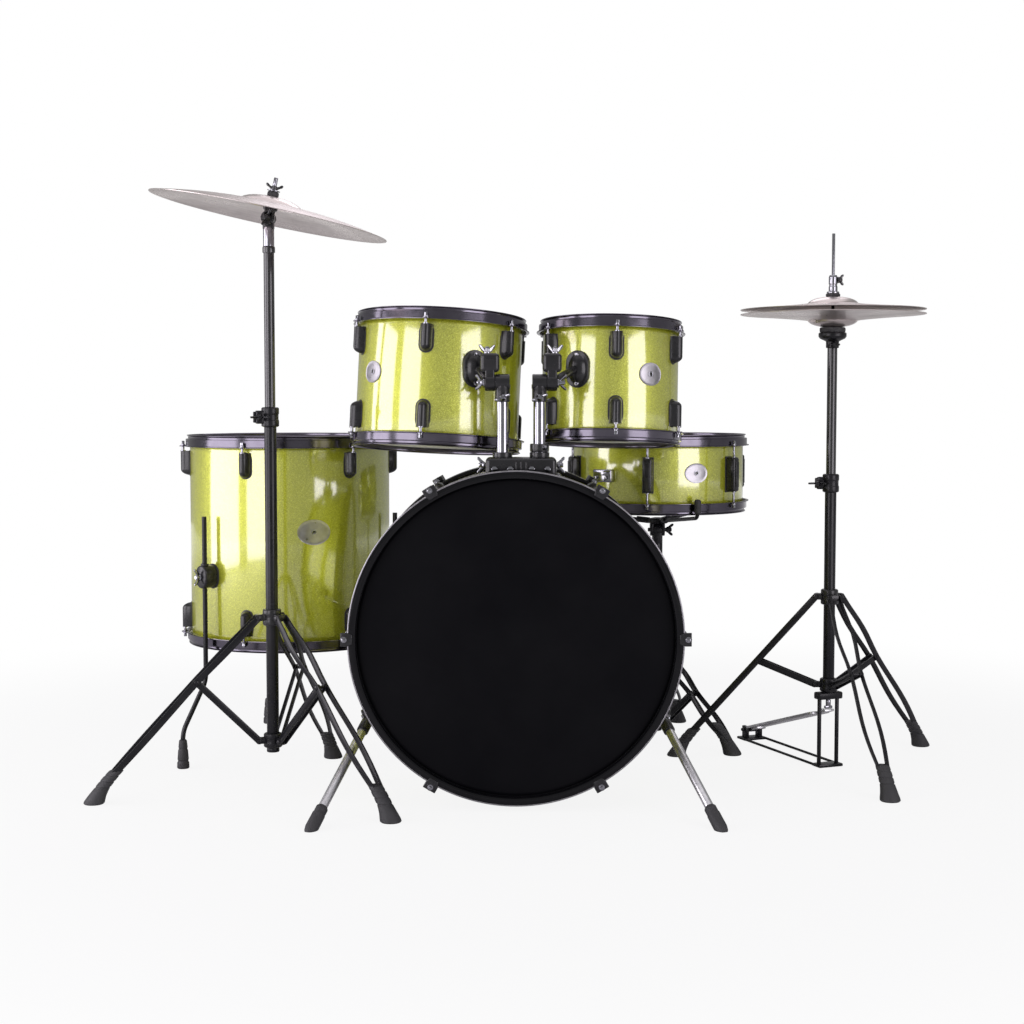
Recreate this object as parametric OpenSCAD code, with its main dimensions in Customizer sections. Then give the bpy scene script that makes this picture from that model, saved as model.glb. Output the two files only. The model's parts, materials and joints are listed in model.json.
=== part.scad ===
// Five-piece acoustic drum kit, laid out as the player uses it.
// Origin: on the floor under the middle of the kit. +Z is up, the player sits at +Y
// and the bass drum's front head looks toward -Y.

/* [Bass drum] */
// Radius of the bass shell
bass_r = 279.4; // [254:0.2:292]
// Length of the bass shell
bass_depth = 356; // [320:1:372]
// Wall of the bass shell
bass_wall = 8; // [6:0.5:10]
// Left-right place of the bass drum's axis
bass_x = -46; // [-60:1:-30]
// Front face of the front hoop
bass_front_y = -359; // [-373:1:-343]
// Height of the bass hoops above the floor
bass_lift = 9; // [7:0.5:14]
// Width of a wooden hoop past the head
wood_over = 18; // [14:1:20]
// Width of a wooden hoop over the shell
wood_back = 20; // [16:1:24]
// Outside of a wooden hoop past the shell's radius
wood_out = 15.6; // [13:0.2:17]
// Distance of the claw rods past the shell's radius
claw_rod_out = 21; // [20:0.5:23]
// Distance from the head to a bass lug
bass_lug_start = 60; // [50:1:80]

/* [Rack toms] */
// Radius of the low tom's shell
low_tom_r = 152.4; // [146:0.2:156]
// Depth of the low tom's shell
low_tom_depth = 229; // [203:1:235]
// Left-right place of the low tom's centre
low_tom_x = -190; // [-198:1:-186]
// Lean of the low tom back toward the player
low_tom_back = 4.4; // [0:0.1:8]
// Lean of the low tom to the right
low_tom_side = 2.7; // [0:0.1:4]
// Radius of the high tom's shell
high_tom_r = 127; // [120:0.2:132]
// Depth of the high tom's shell
high_tom_depth = 210; // [190:1:216]
// Left-right place of the high tom's centre
high_tom_x = 131; // [126:1:140]
// Lean of the high tom back toward the player
high_tom_back = 4.3; // [0:0.1:8]
// Lean of the high tom to the right
high_tom_side = 1; // [-2:0.1:3]
// Distance of both rack toms' centres behind the posts
rack_back = 177; // [172:1:185]
// Height of both rack toms' centres above the tilt pivots
rack_up = 0; // [-8:1:8]
// Wall of the tom, floor tom and snare shells
shell_wall = 6.5; // [5:0.5:8]

/* [Tom posts] */
// Outside radius of a tom post
post_r = 11.1; // [9.5:0.1:12]
// Distance between the two posts
post_gap = 66; // [62:1:74]
// Middle of the tom mount past the bass drum's axis
mount_dx = 9; // [0:1:15]
// Posts' distance behind the front face
mount_dy = 85; // [78:1:92]
// Height of the tom mount above the bass shell
mount_h = 36; // [30:1:44]
// Height of the tilt pivots above the tom mount
post_rise = 132.6; // [125:0.2:140]
// Length of a post below the tilt pivot
post_len = 232; // [215:1:245]

/* [Floor tom] */
// Radius of the floor tom's shell
floor_tom_r = 203.2; // [198:0.2:206]
// Depth of the floor tom's shell
floor_tom_depth = 403; // [370:1:410]
// How far the floor tom tucks in beside the bass shell
floor_nest = 18.6; // [0:0.2:28]
// Front-back place of the floor tom's axis
floor_tom_y = 211; // [209:1:219]
// Height of the floor tom's lower edge
floor_tom_z = 237; // [220:1:245]
// Radius of a floor tom leg
leg_rod_r = 4.75; // [4:0.25:5.5]
// Height of the leg rods' upper ends
leg_top_z = 492; // [470:1:520]
// Reach of a leg's foot past its straight run
leg_kick = 58; // [45:1:65]

/* [Snare drum] */
// Radius of the snare's shell
snare_r = 177.8; // [172:0.2:180]
// Depth of the snare's shell
snare_depth = 140; // [125:1:150]
// Left-right place of the snare's axis
snare_x = 254; // [246:1:260]
// Front-back place of the snare's axis
snare_y = 291; // [287:1:302]
// Height of the snare's lower edge
snare_z = 500; // [485:1:530]
// Outside radius of the snare stand's tube
snare_tube_r = 11.1; // [10:0.1:12]
// Reach of the snare stand's feet
snare_foot_reach = 225; // [215:1:240]

/* [Drum hardware] */
// Width of a tension lug
lug_w = 25; // [20:1:28]
// Length of a tension lug
lug_len = 50; // [44:1:54]
// How far a lug stands out from its shell
lug_out = 25; // [22:1:27]
// Distance from the head to a tom lug
lug_start = 22; // [20:1:26]
// Distance of the tension rods past the shell's radius
rod_out = 13.5; // [13.4:0.1:14.5]
// Radius of a tension rod
rod_r = 2.7; // [2.3:0.1:3]
// Gap between a part that is fixed to a round shell and the shell
seat_gap = 0.3; // [0.2:0.05:0.5]

/* [Crash cymbal] */
// Radius of the crash cymbal
crash_r = 216; // [200:1:230]
// Height of the crash cymbal's bow
crash_bow = 20; // [14:1:26]
// Height of the crash cymbal's bell
crash_bell = 15; // [12:1:18]
// Left-right place of the crash stand
crash_x = -492; // [-505:1:-480]
// Front-back place of the crash stand
crash_y = -209; // [-223:1:-198]
// Height of the tilter's pivot
crash_pivot_z = 1048; // [1040:1:1070]
// Lean of the cymbal to the right
crash_lean = 11.5; // [5:0.5:18]
// Azimuth of the crash stand's first leg
crash_leg_az = 196; // [192:1:204]
// Top of the crash stand's base tube
crash_base_top = 708; // [680:1:740]

/* [Hi-hat] */
// Radius of the hi-hat cymbals
hihat_r = 177.8; // [165:1:180]
// Height of a hi-hat cymbal's bow
hihat_bow = 12; // [10:1:16]
// Height of a hi-hat cymbal's bell
hihat_bell = 12; // [10:1:15]
// Left-right place of the hi-hat stand
hihat_x = 570; // [560:1:582]
// Front-back place of the hi-hat stand
hihat_y = 23; // [17:1:32]
// Edge height of the lower hi-hat cymbal
hihat_edge_z = 886; // [870:1:920]
// Gap between the two cymbals' edges with the pedal up
hihat_open = 10; // [6:1:16]
// Azimuth of the hi-hat stand's first leg
hihat_leg_az = 161; // [157:1:164]
// Top of the hi-hat stand's base tube
hihat_base_top = 577; // [560:1:620]
// Top of the pull rod
hihat_rod_top = 1043; // [1020:1:1070]
// Direction in which the footboard's heel points
hihat_heel_az = 112; // [105:1:118]

/* [Stand tubes and legs] */
// Outside radius of a base tube
base_tube_r = 11.1; // [10.5:0.1:12]
// Wall of a stand tube
tube_wall = 1.5; // [1.2:0.1:1.8]
// Distance of the leg pivots from the tube's axis
pivot_r = 26; // [25:0.5:30]
// Outside radius of the sliding collars
collar_r = 17; // [15:0.5:18]
// Width of a flat leg strip
strip_w = 12; // [10:0.5:13]
// Thickness of a flat leg strip
strip_t = 3; // [2.5:0.25:3.5]
// Clear space between the inner pair of strips
strip_gap = 11; // [10:0.5:13]
// Radius of a rubber foot
foot_r = 16; // [15.5:0.5:18]

/* [Bass pedal] */
// Length of the bass pedal's footboard
pedal_len = 300; // [285:1:315]
// Height of the bass pedal's axle
pedal_axle_z = 190; // [180:1:200]

/* [Fits] */
// Radial play of a shaft that turns or slides
fit = 0.06; // [0.03:0.01:0.09]
// Face gap between two parts that turn on each other
face_gap = 0.3; // [0.2:0.05:0.5]

/* [Hidden] */
$fn = 64;
eps = 0.01;
film = 0.5;                                  // drum head film
edge_h = 4;                                  // bevel of a bearing edge
edge_flat = 1.2;                             // flat of a bearing edge
flesh_in = 1;                                // flesh hoop, past the shell's radius
flesh_out = 5.5;
flesh_h = 8;
rack_lugs = 6;                               // lugs around each head
stud_r = 4;                                  // tilt pins and screws
ear_z = 11;                                  // outer face of a metal hoop's ear flange
ear_t = 2;

// ---- Derived places ----
bass_axis_z = bass_lift + wood_out + bass_r;
bass_len = bass_depth + 2*wood_over;
post_y = bass_front_y + mount_dy;
mount_x = bass_x + mount_dx;
post_x = [mount_x - post_gap/2, mount_x + post_gap/2];
mount_top_z = bass_axis_z + bass_r + mount_h;
tilt_z = mount_top_z + post_rise;
floor_tom_x = bass_x - bass_r - floor_tom_r + floor_nest;
low_tom_at = [low_tom_x, post_y + rack_back, tilt_z + rack_up];
high_tom_at = [high_tom_x, post_y + rack_back, tilt_z + rack_up];
floor_tom_at = [floor_tom_x, floor_tom_y, floor_tom_z];
snare_at = [snare_x, snare_y, snare_z];
post_in_r = post_r - 2.1;
tilt_hub_r = 15;                             // tilter hub and its two halves
tilt_half_a = 13;
tilt_half_b = 18;
nut_r = 8;
bracket_w = 42;                              // tom bracket block
bracket_h = 64;
bracket_out = 22;
bracket_up = 25;
arm_r = 7;
low_bracket_az = -62.6;                      // place of each bracket around its tom
high_bracket_az = -120.8;
tom_lug_az = -90;                            // azimuth that faces the front
low_lug_turn = 52.4;
high_lug_turn = 1.6;
floor_lug_turn = 42;
snare_lug_turn = -11;

// Drum hoop, from the shell's radius out
hoop_in = 1.5;
skirt_in = 6.3;
skirt_out = 8.3;
ear_out = 12.5;
ear_r = 7;
rim_h = 10.8;

// ---- Small shapes ----
module rod(a, b, r) {
  v = b - a;
  translate(a) rotate([0, acos(v.z/norm(v)), atan2(v.y, v.x)]) cylinder(h = norm(v), r = r);
}

module tube(h, r_out, r_in) {
  difference() {
    cylinder(h = h, r = r_out);
    translate([0, 0, -1]) cylinder(h = h + 2, r = r_in);
  }
}

module around(count, turn = 0) {
  for (i = [0 : count - 1]) rotate([0, 0, turn + i*360/count]) children();
}

module both_ends(depth) {
  children();
  translate([0, 0, depth]) mirror([0, 0, 1]) children();
}

// Outline in Y and Z, run outward along +X from x = from to x = to
module outward(from, to) {
  translate([from, 0, 0]) rotate([90, 0, 90]) linear_extrude(to - from) children();
}

module stadium(w, h) {
  translate([-w/2, w/2]) square([w, h - w]);
  translate([0, w/2]) circle(w/2);
  translate([0, h - w/2]) circle(w/2);
}

// ---- Drum pieces: the lower or front end of a drum lies at z = 0 ----
module drum_tube(r, depth, wall) {
  mid = r - wall/2;
  rotate_extrude() polygon([
    [r - wall, edge_h], [mid - edge_flat/2, 0], [mid + edge_flat/2, 0], [r, edge_h],
    [r, depth - edge_h], [mid + edge_flat/2, depth], [mid - edge_flat/2, depth],
    [r - wall, depth - edge_h]
  ]);
}

module drum_head(r) {
  rotate_extrude() polygon([
    [0, -film], [r + flesh_out, -film], [r + flesh_out, flesh_h], [r + flesh_in, flesh_h],
    [r + flesh_in, 0], [0, 0]
  ]);
}

module metal_hoop(r) {
  rotate_extrude() translate([r, 0]) polygon([
    [hoop_in, -film], [skirt_in, -film], [skirt_in, ear_z + ear_t/2],
    [skirt_out, ear_z + ear_t/2], [skirt_out, -2.5], [hoop_in + 2, -2.5],
    [hoop_in + 2, -7.6], [hoop_in + 4.5, -9.2], [hoop_in + 3.5, -rim_h], [hoop_in, -8.6]
  ]);
  translate([0, 0, ear_z]) linear_extrude(ear_t) difference() {
    union() {
      circle(r + ear_out);
      around(rack_lugs) translate([r + rod_out, 0]) circle(ear_r);
    }
    circle(r + (skirt_in + skirt_out)/2);
    around(rack_lugs) translate([r + rod_out, 0]) circle(rod_r + 0.7);
  }
}

// Bullet-shaped lug: square end toward the hoop, round end away from it
module lug(r, start, out) {
  difference() {
    translate([0, 0, start]) outward(r - 5, r + out) {
      translate([-lug_w/2, 0]) square([lug_w, lug_len - lug_w/2]);
      translate([0, lug_len - lug_w/2]) circle(lug_w/2);
    }
    cylinder(h = start + lug_len + 10, r = r + seat_gap);
  }
}

module tension_rod(r, out, head_z, end_z) {
  translate([r + out, 0, 0]) {
    translate([0, 0, head_z]) cylinder(h = end_z - head_z, r = rod_r);
    translate([0, 0, head_z - 1.5]) cylinder(h = 1.5, r = out - skirt_out - 0.2);
    translate([0, 0, head_z - 9]) cylinder(h = 7.5 + eps, r = 3.6);
  }
}

module tom_lugs(r, depth) {
  both_ends(depth) around(rack_lugs) {
    lug(r, lug_start, lug_out);
    tension_rod(r, rod_out, ear_z, lug_start);
  }
}

// ---- Bass drum: its own +Z runs from the front face to the back ----
module at_bass() {
  translate([bass_x, bass_front_y + wood_over, bass_axis_z]) rotate([-90, 0, 0]) children();
}

spur_turn = 30;                              // spur brackets below the axis
spur_dy = 100;
spur_plate = 12;
spur_hub = 22;
spur_hub_r = 17;
spur_cap_r = 9;
spur_pin_r = 5;
spur_rod_r = 8;
spur_tip_r = 11;
spur_reach = [80, 228];                      // foot, past the pivot: outward, then forward
spur_pivot_r = bass_r + seat_gap + spur_plate + face_gap + spur_hub/2;
spur_pivot = [spur_pivot_r*cos(spur_turn), bass_front_y + spur_dy,
              bass_axis_z - spur_pivot_r*sin(spur_turn)];
spur_foot = [spur_pivot.x + spur_reach[0], spur_pivot.y - spur_reach[1], spur_tip_r/2];

// Children are drawn for the right side, and mirrored for the left one
module bass_side(side) {
  translate([bass_x, 0, 0]) mirror([side < 0 ? 1 : 0, 0, 0]) children();
}

module at_spur_pivot() {
  translate(spur_pivot) rotate([0, 90 + spur_turn, 0]) children();
}

module bass_drum_tube() {
  color("yellowgreen") difference() {
    at_bass() drum_tube(bass_r, bass_depth, bass_wall);
    for (x = post_x) translate([x, post_y, bass_axis_z]) cylinder(h = bass_r + 10, r = post_r + 2);
  }
}

module bass_hoops() {
  color("black") at_bass() both_ends(bass_depth) rotate_extrude() translate([bass_r, 0])
    polygon([
      [hoop_in, -wood_over], [wood_out, -wood_over], [wood_out, wood_back],
      [flesh_out + seat_gap, wood_back], [flesh_out + seat_gap, -film], [hoop_in, -film]
    ]);
}

module bass_front_head() {
  color("dimgray") at_bass() drum_head(bass_r);
}

module bass_batter_head() {
  color("white") at_bass() translate([0, 0, bass_depth]) mirror([0, 0, 1]) drum_head(bass_r);
}

// Claw hooked over a wooden hoop, with the ear that its rod goes through
claw_w = 24;
claw_t = 3;
module claw() {
  difference() {
    union() {
      translate([bass_r + wood_out - 9, -claw_w/2, -wood_over - claw_t])
        cube([claw_rod_out + 15 - wood_out, claw_w, claw_t]);
      translate([bass_r + wood_out + seat_gap, -claw_w/2, -wood_over - claw_t])
        cube([claw_rod_out + 6 - wood_out - seat_gap, claw_w, wood_over]);
    }
    translate([bass_r + claw_rod_out, 0, -wood_over - 2*claw_t])
      cylinder(h = wood_over + 2*claw_t, r = rod_r + 0.7);
  }
}

module bass_lugs() {
  color("dimgray") at_bass() both_ends(bass_depth) around(rack_lugs) {
    lug(bass_r, bass_lug_start, claw_rod_out + 9);
    claw();
    tension_rod(bass_r, claw_rod_out, -wood_over - claw_t, bass_lug_start);
  }
}

mount_w = 126;
mount_l = 60;
module bass_brackets() {
  color("black") {
    difference() {
      translate([mount_x - mount_w/2, post_y - mount_l/2, mount_top_z - mount_h - 8])
        cube([mount_w, mount_l, mount_h + 8]);
      translate([0, 0, -wood_over]) at_bass() translate([0, -wood_over, 0])
        cylinder(h = bass_len, r = bass_r + seat_gap);
      for (x = post_x) translate([x, post_y, mount_top_z - 100])
        cylinder(h = 120, r = post_r + fit);
    }
    for (s = [-1, 1]) translate([mount_x + s*mount_w/2, post_y, mount_top_z - mount_h/3])
      rotate([0, s*90, 0]) {
        cylinder(h = 10, r = stud_r);
        translate([0, 0, 10]) cylinder(h = 6, r = 9);
      }
    for (s = [-1, 1]) bass_side(s) {
      difference() {
        at_spur_pivot() translate([0, 0, -spur_hub/2 - face_gap - spur_plate - 5])
          cylinder(h = spur_plate + 5, r = 24);
        translate([0, bass_front_y, bass_axis_z]) rotate([-90, 0, 0])
          cylinder(h = bass_len, r = bass_r + seat_gap);
      }
      at_spur_pivot() {
        translate([0, 0, -spur_hub/2 - face_gap]) cylinder(h = spur_hub + 2*face_gap, r = spur_pin_r);
        translate([0, 0, spur_hub/2 + face_gap]) cylinder(h = 4, r = spur_cap_r);
      }
    }
  }
}

module bass_spur() {
  way = (spur_foot - spur_pivot)/norm(spur_foot - spur_pivot);
  difference() {
    union() {
      at_spur_pivot() translate([0, 0, -spur_hub/2]) cylinder(h = spur_hub, r = spur_hub_r);
      rod(spur_pivot, spur_foot - 20*way, spur_rod_r);
    }
    at_spur_pivot() translate([0, 0, -50]) cylinder(h = 100, r = spur_pin_r + fit);
    at_spur_pivot() translate([0, 0, -50 - spur_hub/2]) cylinder(h = 50, r = 40);
    at_spur_pivot() translate([0, 0, spur_hub/2]) cylinder(h = 50, r = spur_cap_r + 1.5);
  }
  difference() {
    rod(spur_foot - 45*way, spur_foot + 30*way, spur_tip_r);
    rod(spur_foot - 60*way, spur_foot - 20*way, spur_rod_r);
    translate([spur_foot.x, spur_foot.y, -50]) cube([200, 200, 100], center = true);
  }
}

module bass_spur_left() { color("silver") bass_side(-1) bass_spur(); }
module bass_spur_right() { color("silver") bass_side(1) bass_spur(); }

// ---- Bass pedal: its own +Y runs from the drum toward the heel ----
batter_y = bass_front_y + bass_len;
pedal_axle_dy = 42;
cam_r = 30;
strap_t = 2;
pedal_toe = [pedal_axle_dy - cam_r, 96];     // strap end of the footboard: Y, Z
pedal_heel_dy = pedal_toe[0] + pedal_len;
pedal_heel_z = 24;
pedal_half = 44;                             // half the width between the posts
plate_t = bass_lift - seat_gap;              // the batter hoop stands on the plate
module at_pedal() { translate([bass_x, batter_y, 0]) children(); }

module bass_pedal_frame() {
  color("dimgray") at_pedal() difference() {
    union() {
      translate([-38, -26, 0]) cube([76, pedal_heel_dy + 44, plate_t]);
      translate([-pedal_half - 8, pedal_axle_dy - 22, 0]) cube([2*pedal_half + 16, 44, plate_t]);
      for (s = [-1, 1]) {
        translate([s*(pedal_half + 4), pedal_axle_dy, plate_t - eps])
          cylinder(h = pedal_axle_z - plate_t + 14, r = 6);
        translate([s*(pedal_half + 4), pedal_axle_dy, pedal_axle_z]) rotate([0, s*90, 0])
          cylinder(h = 14, r = 10, center = true);
        translate([s*22 - 7, pedal_heel_dy - 12, plate_t - eps]) cube([14, 24, pedal_heel_z + 4]);
      }
      translate([-30, pedal_heel_dy, pedal_heel_z]) rotate([0, 90, 0]) cylinder(h = 60, r = 3);
    }
    for (s = [-1, 1]) translate([s*(pedal_half + 4), pedal_axle_dy, pedal_axle_z])
      rotate([0, 90, 0]) cylinder(h = 40, r = 5 + fit, center = true);
  }
}

strap_end = 1;                               // gap that lets the strap roll onto the cam
module bass_pedal_footboard() {
  a = atan2(pedal_toe[1] - pedal_heel_z, pedal_heel_dy - pedal_toe[0]);
  l = norm([pedal_toe[1] - pedal_heel_z, pedal_heel_dy - pedal_toe[0]]);
  color("silver") at_pedal() translate([0, pedal_heel_dy, pedal_heel_z]) rotate([-a, 0, 0])
    difference() {
      union() {
        translate([-14, -30, -6]) cube([28, 36, 12]);
        translate([-35, -l + 40, 0]) cube([70, l - 54, 6]);
        translate([-14, -l, 0]) cube([28, 60, 6]);
      }
      rotate([0, 90, 0]) cylinder(h = 80, r = 3 + fit, center = true);
    }
  color("dimgray") at_pedal() translate([-7, pedal_toe[0] - strap_t, pedal_toe[1]])
    cube([14, strap_t, pedal_axle_z - pedal_toe[1] - strap_end]);
}

beater_reach = 190;
beater_lean = 45;
module bass_pedal_beater() {
  color("silver") at_pedal() translate([0, pedal_axle_dy, pedal_axle_z]) {
    rotate([0, 90, 0]) cylinder(h = 2*pedal_half + 20, r = 5, center = true);
    rotate([0, 90, 0]) cylinder(h = 26, r = 13, center = true);
    rotate([0, 90, 0]) cylinder(h = 14, r = cam_r, center = true);
    intersection() {
      rotate([0, 90, 0]) translate([0, 0, -7]) tube(14, cam_r + strap_t, cam_r);
      translate([-20, -50, 0]) cube([40, 50, 50]);
    }
    rotate([-beater_lean, 0, 0]) {
      cylinder(h = beater_reach - 12, r = 4);
      translate([0, 0, beater_reach]) rotate([90, 0, 0]) difference() {
        cylinder(h = 42, r = 24, center = true);
        translate([0, -24, 0]) rotate([90, 0, 0]) translate([0, 0, -12]) cylinder(h = 40, r = 4);
      }
    }
  }
}

// ---- Rack toms: each drum is drawn about its own centre ----
module at_low_tom() {
  translate(low_tom_at) rotate([-low_tom_back, low_tom_side, 0])
    translate([0, 0, -low_tom_depth/2]) children();
}

module at_high_tom() {
  translate(high_tom_at) rotate([-high_tom_back, high_tom_side, 0])
    translate([0, 0, -high_tom_depth/2]) children();
}

// Chrome post with the fixed half of its tilter; side is +1 where the tom lies to the right
module tom_post(x, side) {
  post_bottom = tilt_z - post_len;
  translate([x, post_y, 0]) {
    translate([0, 0, post_bottom]) tube(post_len - tilt_hub_r, post_r, post_in_r);
    difference() {
      union() {
        translate([0, 0, tilt_z]) rotate([0, 90, 0])
          cylinder(h = 2*tilt_half_a, r = tilt_hub_r, center = true);
        translate([0, 0, tilt_z - tilt_hub_r - 12]) cylinder(h = 12 + tilt_hub_r, r = tilt_half_a);
      }
      translate([0, 0, tilt_z - tilt_hub_r - 20]) cylinder(h = 20, r = post_r);
    }
    translate([0, 0, tilt_z]) rotate([0, side*90, 0]) {
      cylinder(h = tilt_half_a + tilt_half_b + 2*face_gap, r = stud_r);
      translate([0, 0, tilt_half_a + tilt_half_b + 2*face_gap]) cylinder(h = 7, r = nut_r);
    }
  }
}

// Moving half of the tilter, the arm, and the block on the tom
module tom_bracket(x, side, at, r, az) {
  block = at + [(r + bracket_out/2)*cos(az), (r + bracket_out/2)*sin(az), bracket_up];
  half = [x + side*(tilt_half_a + face_gap + tilt_half_b/2), post_y, tilt_z];
  difference() {
    union() {
      translate(half) rotate([0, 90, 0]) cylinder(h = tilt_half_b, r = tilt_hub_r, center = true);
      rod(half, block, arm_r);
      translate(at) rotate([0, 0, az]) translate([0, 0, bracket_up - bracket_h/2])
        outward(r - 12, r + bracket_out) stadium(bracket_w, bracket_h);
    }
    translate([x, post_y, tilt_z]) rotate([0, 90, 0])
      cylinder(h = 120, r = stud_r + fit, center = true);
    translate([x, post_y, tilt_z]) rotate([0, 90, 0])
      cylinder(h = 2*(tilt_half_a + face_gap), r = 45, center = true);
    translate([x, post_y, tilt_z]) rotate([0, side*90, 0])
      translate([0, 0, tilt_half_a + tilt_half_b + face_gap]) cylinder(h = 12, r = nut_r + 1);
    children();
  }
}

module tom_post_left() { color("silver") tom_post(post_x[0], -1); }
module tom_post_right() { color("silver") tom_post(post_x[1], 1); }

module low_tom_drum_tube() {
  color("yellowgreen") at_low_tom() drum_tube(low_tom_r, low_tom_depth, shell_wall);
}
module low_tom_hoops() {
  color("black") at_low_tom() rotate([0, 0, tom_lug_az + low_lug_turn])
    both_ends(low_tom_depth) metal_hoop(low_tom_r);
}
module low_tom_heads() { color("white") at_low_tom() both_ends(low_tom_depth) drum_head(low_tom_r); }
module low_tom_lugs() {
  color("dimgray") at_low_tom() rotate([0, 0, tom_lug_az + low_lug_turn])
    tom_lugs(low_tom_r, low_tom_depth);
}
module low_tom_bracket() {
  color("dimgray") tom_bracket(post_x[0], -1, low_tom_at, low_tom_r, low_bracket_az)
    at_low_tom() cylinder(h = low_tom_depth, r = low_tom_r + seat_gap);
}

module high_tom_drum_tube() {
  color("yellowgreen") at_high_tom() drum_tube(high_tom_r, high_tom_depth, shell_wall);
}
module high_tom_hoops() {
  color("black") at_high_tom() rotate([0, 0, tom_lug_az + high_lug_turn])
    both_ends(high_tom_depth) metal_hoop(high_tom_r);
}
module high_tom_heads() { color("white") at_high_tom() both_ends(high_tom_depth) drum_head(high_tom_r); }
module high_tom_lugs() {
  color("dimgray") at_high_tom() rotate([0, 0, tom_lug_az + high_lug_turn])
    tom_lugs(high_tom_r, high_tom_depth);
}
module high_tom_bracket() {
  color("dimgray") tom_bracket(post_x[1], 1, high_tom_at, high_tom_r, high_bracket_az)
    at_high_tom() cylinder(h = high_tom_depth, r = high_tom_r + seat_gap);
}

// ---- Floor tom ----
leg_turn = tom_lug_az - 42;                  // first of three leg brackets
leg_block_z = 373;
leg_block_h = 46;
leg_line_r = floor_tom_r + 20;               // straight run of a leg, from the drum's axis
leg_bend_z = 184;
leg_low_z = 66;
knee_over = 0.3;                             // knuckle of a bent leg rod past the rod
leg_foot_r = 12;
leg_foot_h = 34;
module at_floor_tom() { translate(floor_tom_at) children(); }

module floor_tom_drum_tube() {
  color("yellowgreen") at_floor_tom() drum_tube(floor_tom_r, floor_tom_depth, shell_wall);
}
module floor_tom_hoops() {
  color("black") at_floor_tom() rotate([0, 0, tom_lug_az + floor_lug_turn])
    both_ends(floor_tom_depth) metal_hoop(floor_tom_r);
}
module floor_tom_heads() { color("white") at_floor_tom() both_ends(floor_tom_depth) drum_head(floor_tom_r); }
module floor_tom_lugs() {
  color("dimgray") {
    at_floor_tom() rotate([0, 0, tom_lug_az + floor_lug_turn])
      tom_lugs(floor_tom_r, floor_tom_depth);
    translate([floor_tom_x, floor_tom_y, leg_block_z]) around(3, leg_turn) difference() {
      translate([0, 0, -leg_block_h/2]) outward(floor_tom_r - 5, leg_line_r + 11) stadium(34, leg_block_h);
      translate([0, 0, -leg_block_h]) cylinder(h = 2*leg_block_h, r = floor_tom_r + seat_gap);
      translate([leg_line_r, 0, -leg_block_h]) cylinder(h = 2*leg_block_h, r = leg_rod_r + fit);
    }
  }
}

module floor_tom_legs() {
  foot = [leg_line_r + leg_kick, 0, leg_foot_h - 12];
  color("silver") translate([floor_tom_x, floor_tom_y, 0]) around(3, leg_turn) {
    translate([leg_line_r, 0, leg_bend_z]) cylinder(h = leg_top_z - leg_bend_z, r = leg_rod_r);
    translate([leg_line_r, 0, leg_bend_z]) sphere(leg_rod_r + knee_over);
    rod([leg_line_r, 0, leg_bend_z], [foot.x, 0, leg_low_z], leg_rod_r);
    translate([foot.x, 0, leg_low_z]) sphere(leg_rod_r + knee_over);
    translate([foot.x, 0, foot.z]) cylinder(h = leg_low_z - foot.z, r = leg_rod_r);
    translate([foot.x, 0, 0]) difference() {
      cylinder(h = leg_foot_h, r = leg_foot_r);
      translate([0, 0, foot.z]) cylinder(h = leg_foot_h, r = leg_rod_r);
    }
  }
}

// ---- Leg strips, shared by the three tripods ----
strip_in = strip_gap/2;                      // inner faces of the brace strips
strip_out = strip_in + strip_t + 0.5;        // inner faces of the leg strips
function pin_half(outer) = outer + strip_t + 0.2;

module strip_run(a, b) {
  d = b - a;
  translate(a) rotate(atan2(d.y, d.x)) {
    translate([0, -strip_w/2]) square([norm(d), strip_w]);
    circle(strip_w/2);
    translate([norm(d), 0]) circle(strip_w/2);
  }
}

// A pair of flat strips along points [outward, height], with eyes for pins
module strips(path, face, eyes) {
  for (s = [-1, 1]) translate([0, s > 0 ? face + strip_t : -face, 0]) rotate([90, 0, 0])
    linear_extrude(strip_t) difference() {
      union() {
        for (i = [0 : len(path) - 2]) strip_run(path[i], path[i + 1]);
      }
      for (e = eyes) translate(e) circle(stud_r - 1 + fit);
    }
}

// Rubber foot at the end of a leg, cut flat on the floor
foot_len = 52;
module rubber_foot(a, b, face) {
  w = (b - a)/norm(b - a);
  difference() {
    rod([b.x - w.x*foot_len*0.7, 0, b.y - w.y*foot_len*0.7],
        [b.x + w.x*foot_len*0.3, 0, b.y + w.y*foot_len*0.3], foot_r);
    strips([a, b], face, []);
    translate([b.x, 0, -50]) cube([200, 200, 100], center = true);
  }
}

module cross_pin(at, half) {
  translate([at.x, 0, at.y]) rotate([90, 0, 0]) cylinder(h = 2*half, r = stud_r - 1, center = true);
}

// Collar round a tube, with a tongue and a pin toward each leg
module collar(az, z, bore, h, tongue, outer) {
  difference() {
    union() {
      translate([0, 0, z - h/2]) cylinder(h = h, r = collar_r);
      for (i = [0 : 2]) rotate([0, 0, az + 120*i]) {
        translate([0, -tongue, z - strip_w/2]) cube([pivot_r + 4, 2*tongue, strip_w]);
        cross_pin([pivot_r, z], pin_half(outer));
      }
    }
    translate([0, 0, z - h]) cylinder(h = 2*h, r = bore);
  }
}

// Points of a folding tripod are [outward, height]
leg_end_z = 14;

// ---- Crash stand ----
crash_top = [pivot_r, 325];
crash_low = [pivot_r, 98];
crash_mid = [139, (crash_top.y + crash_low.y)/2];
crash_foot = [322, leg_end_z];               // the leg bends a little at its middle pin
upper_tube_r = base_tube_r - tube_wall - fit;
crash_base_z = 68;                           // lower ends of the base and upper tubes
crash_upper_z = 560;
crash_upper_top = 992;
clamp_r = 16;
clamp_h = 36;
module at_crash() { translate([crash_x, crash_y, 0]) children(); }

module stand_leg(az, top, mid, foot) {
  rotate([0, 0, az]) {
    strips([top, mid, foot], strip_out, [top, mid]);
    rubber_foot(mid, foot, strip_out);
  }
}

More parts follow.
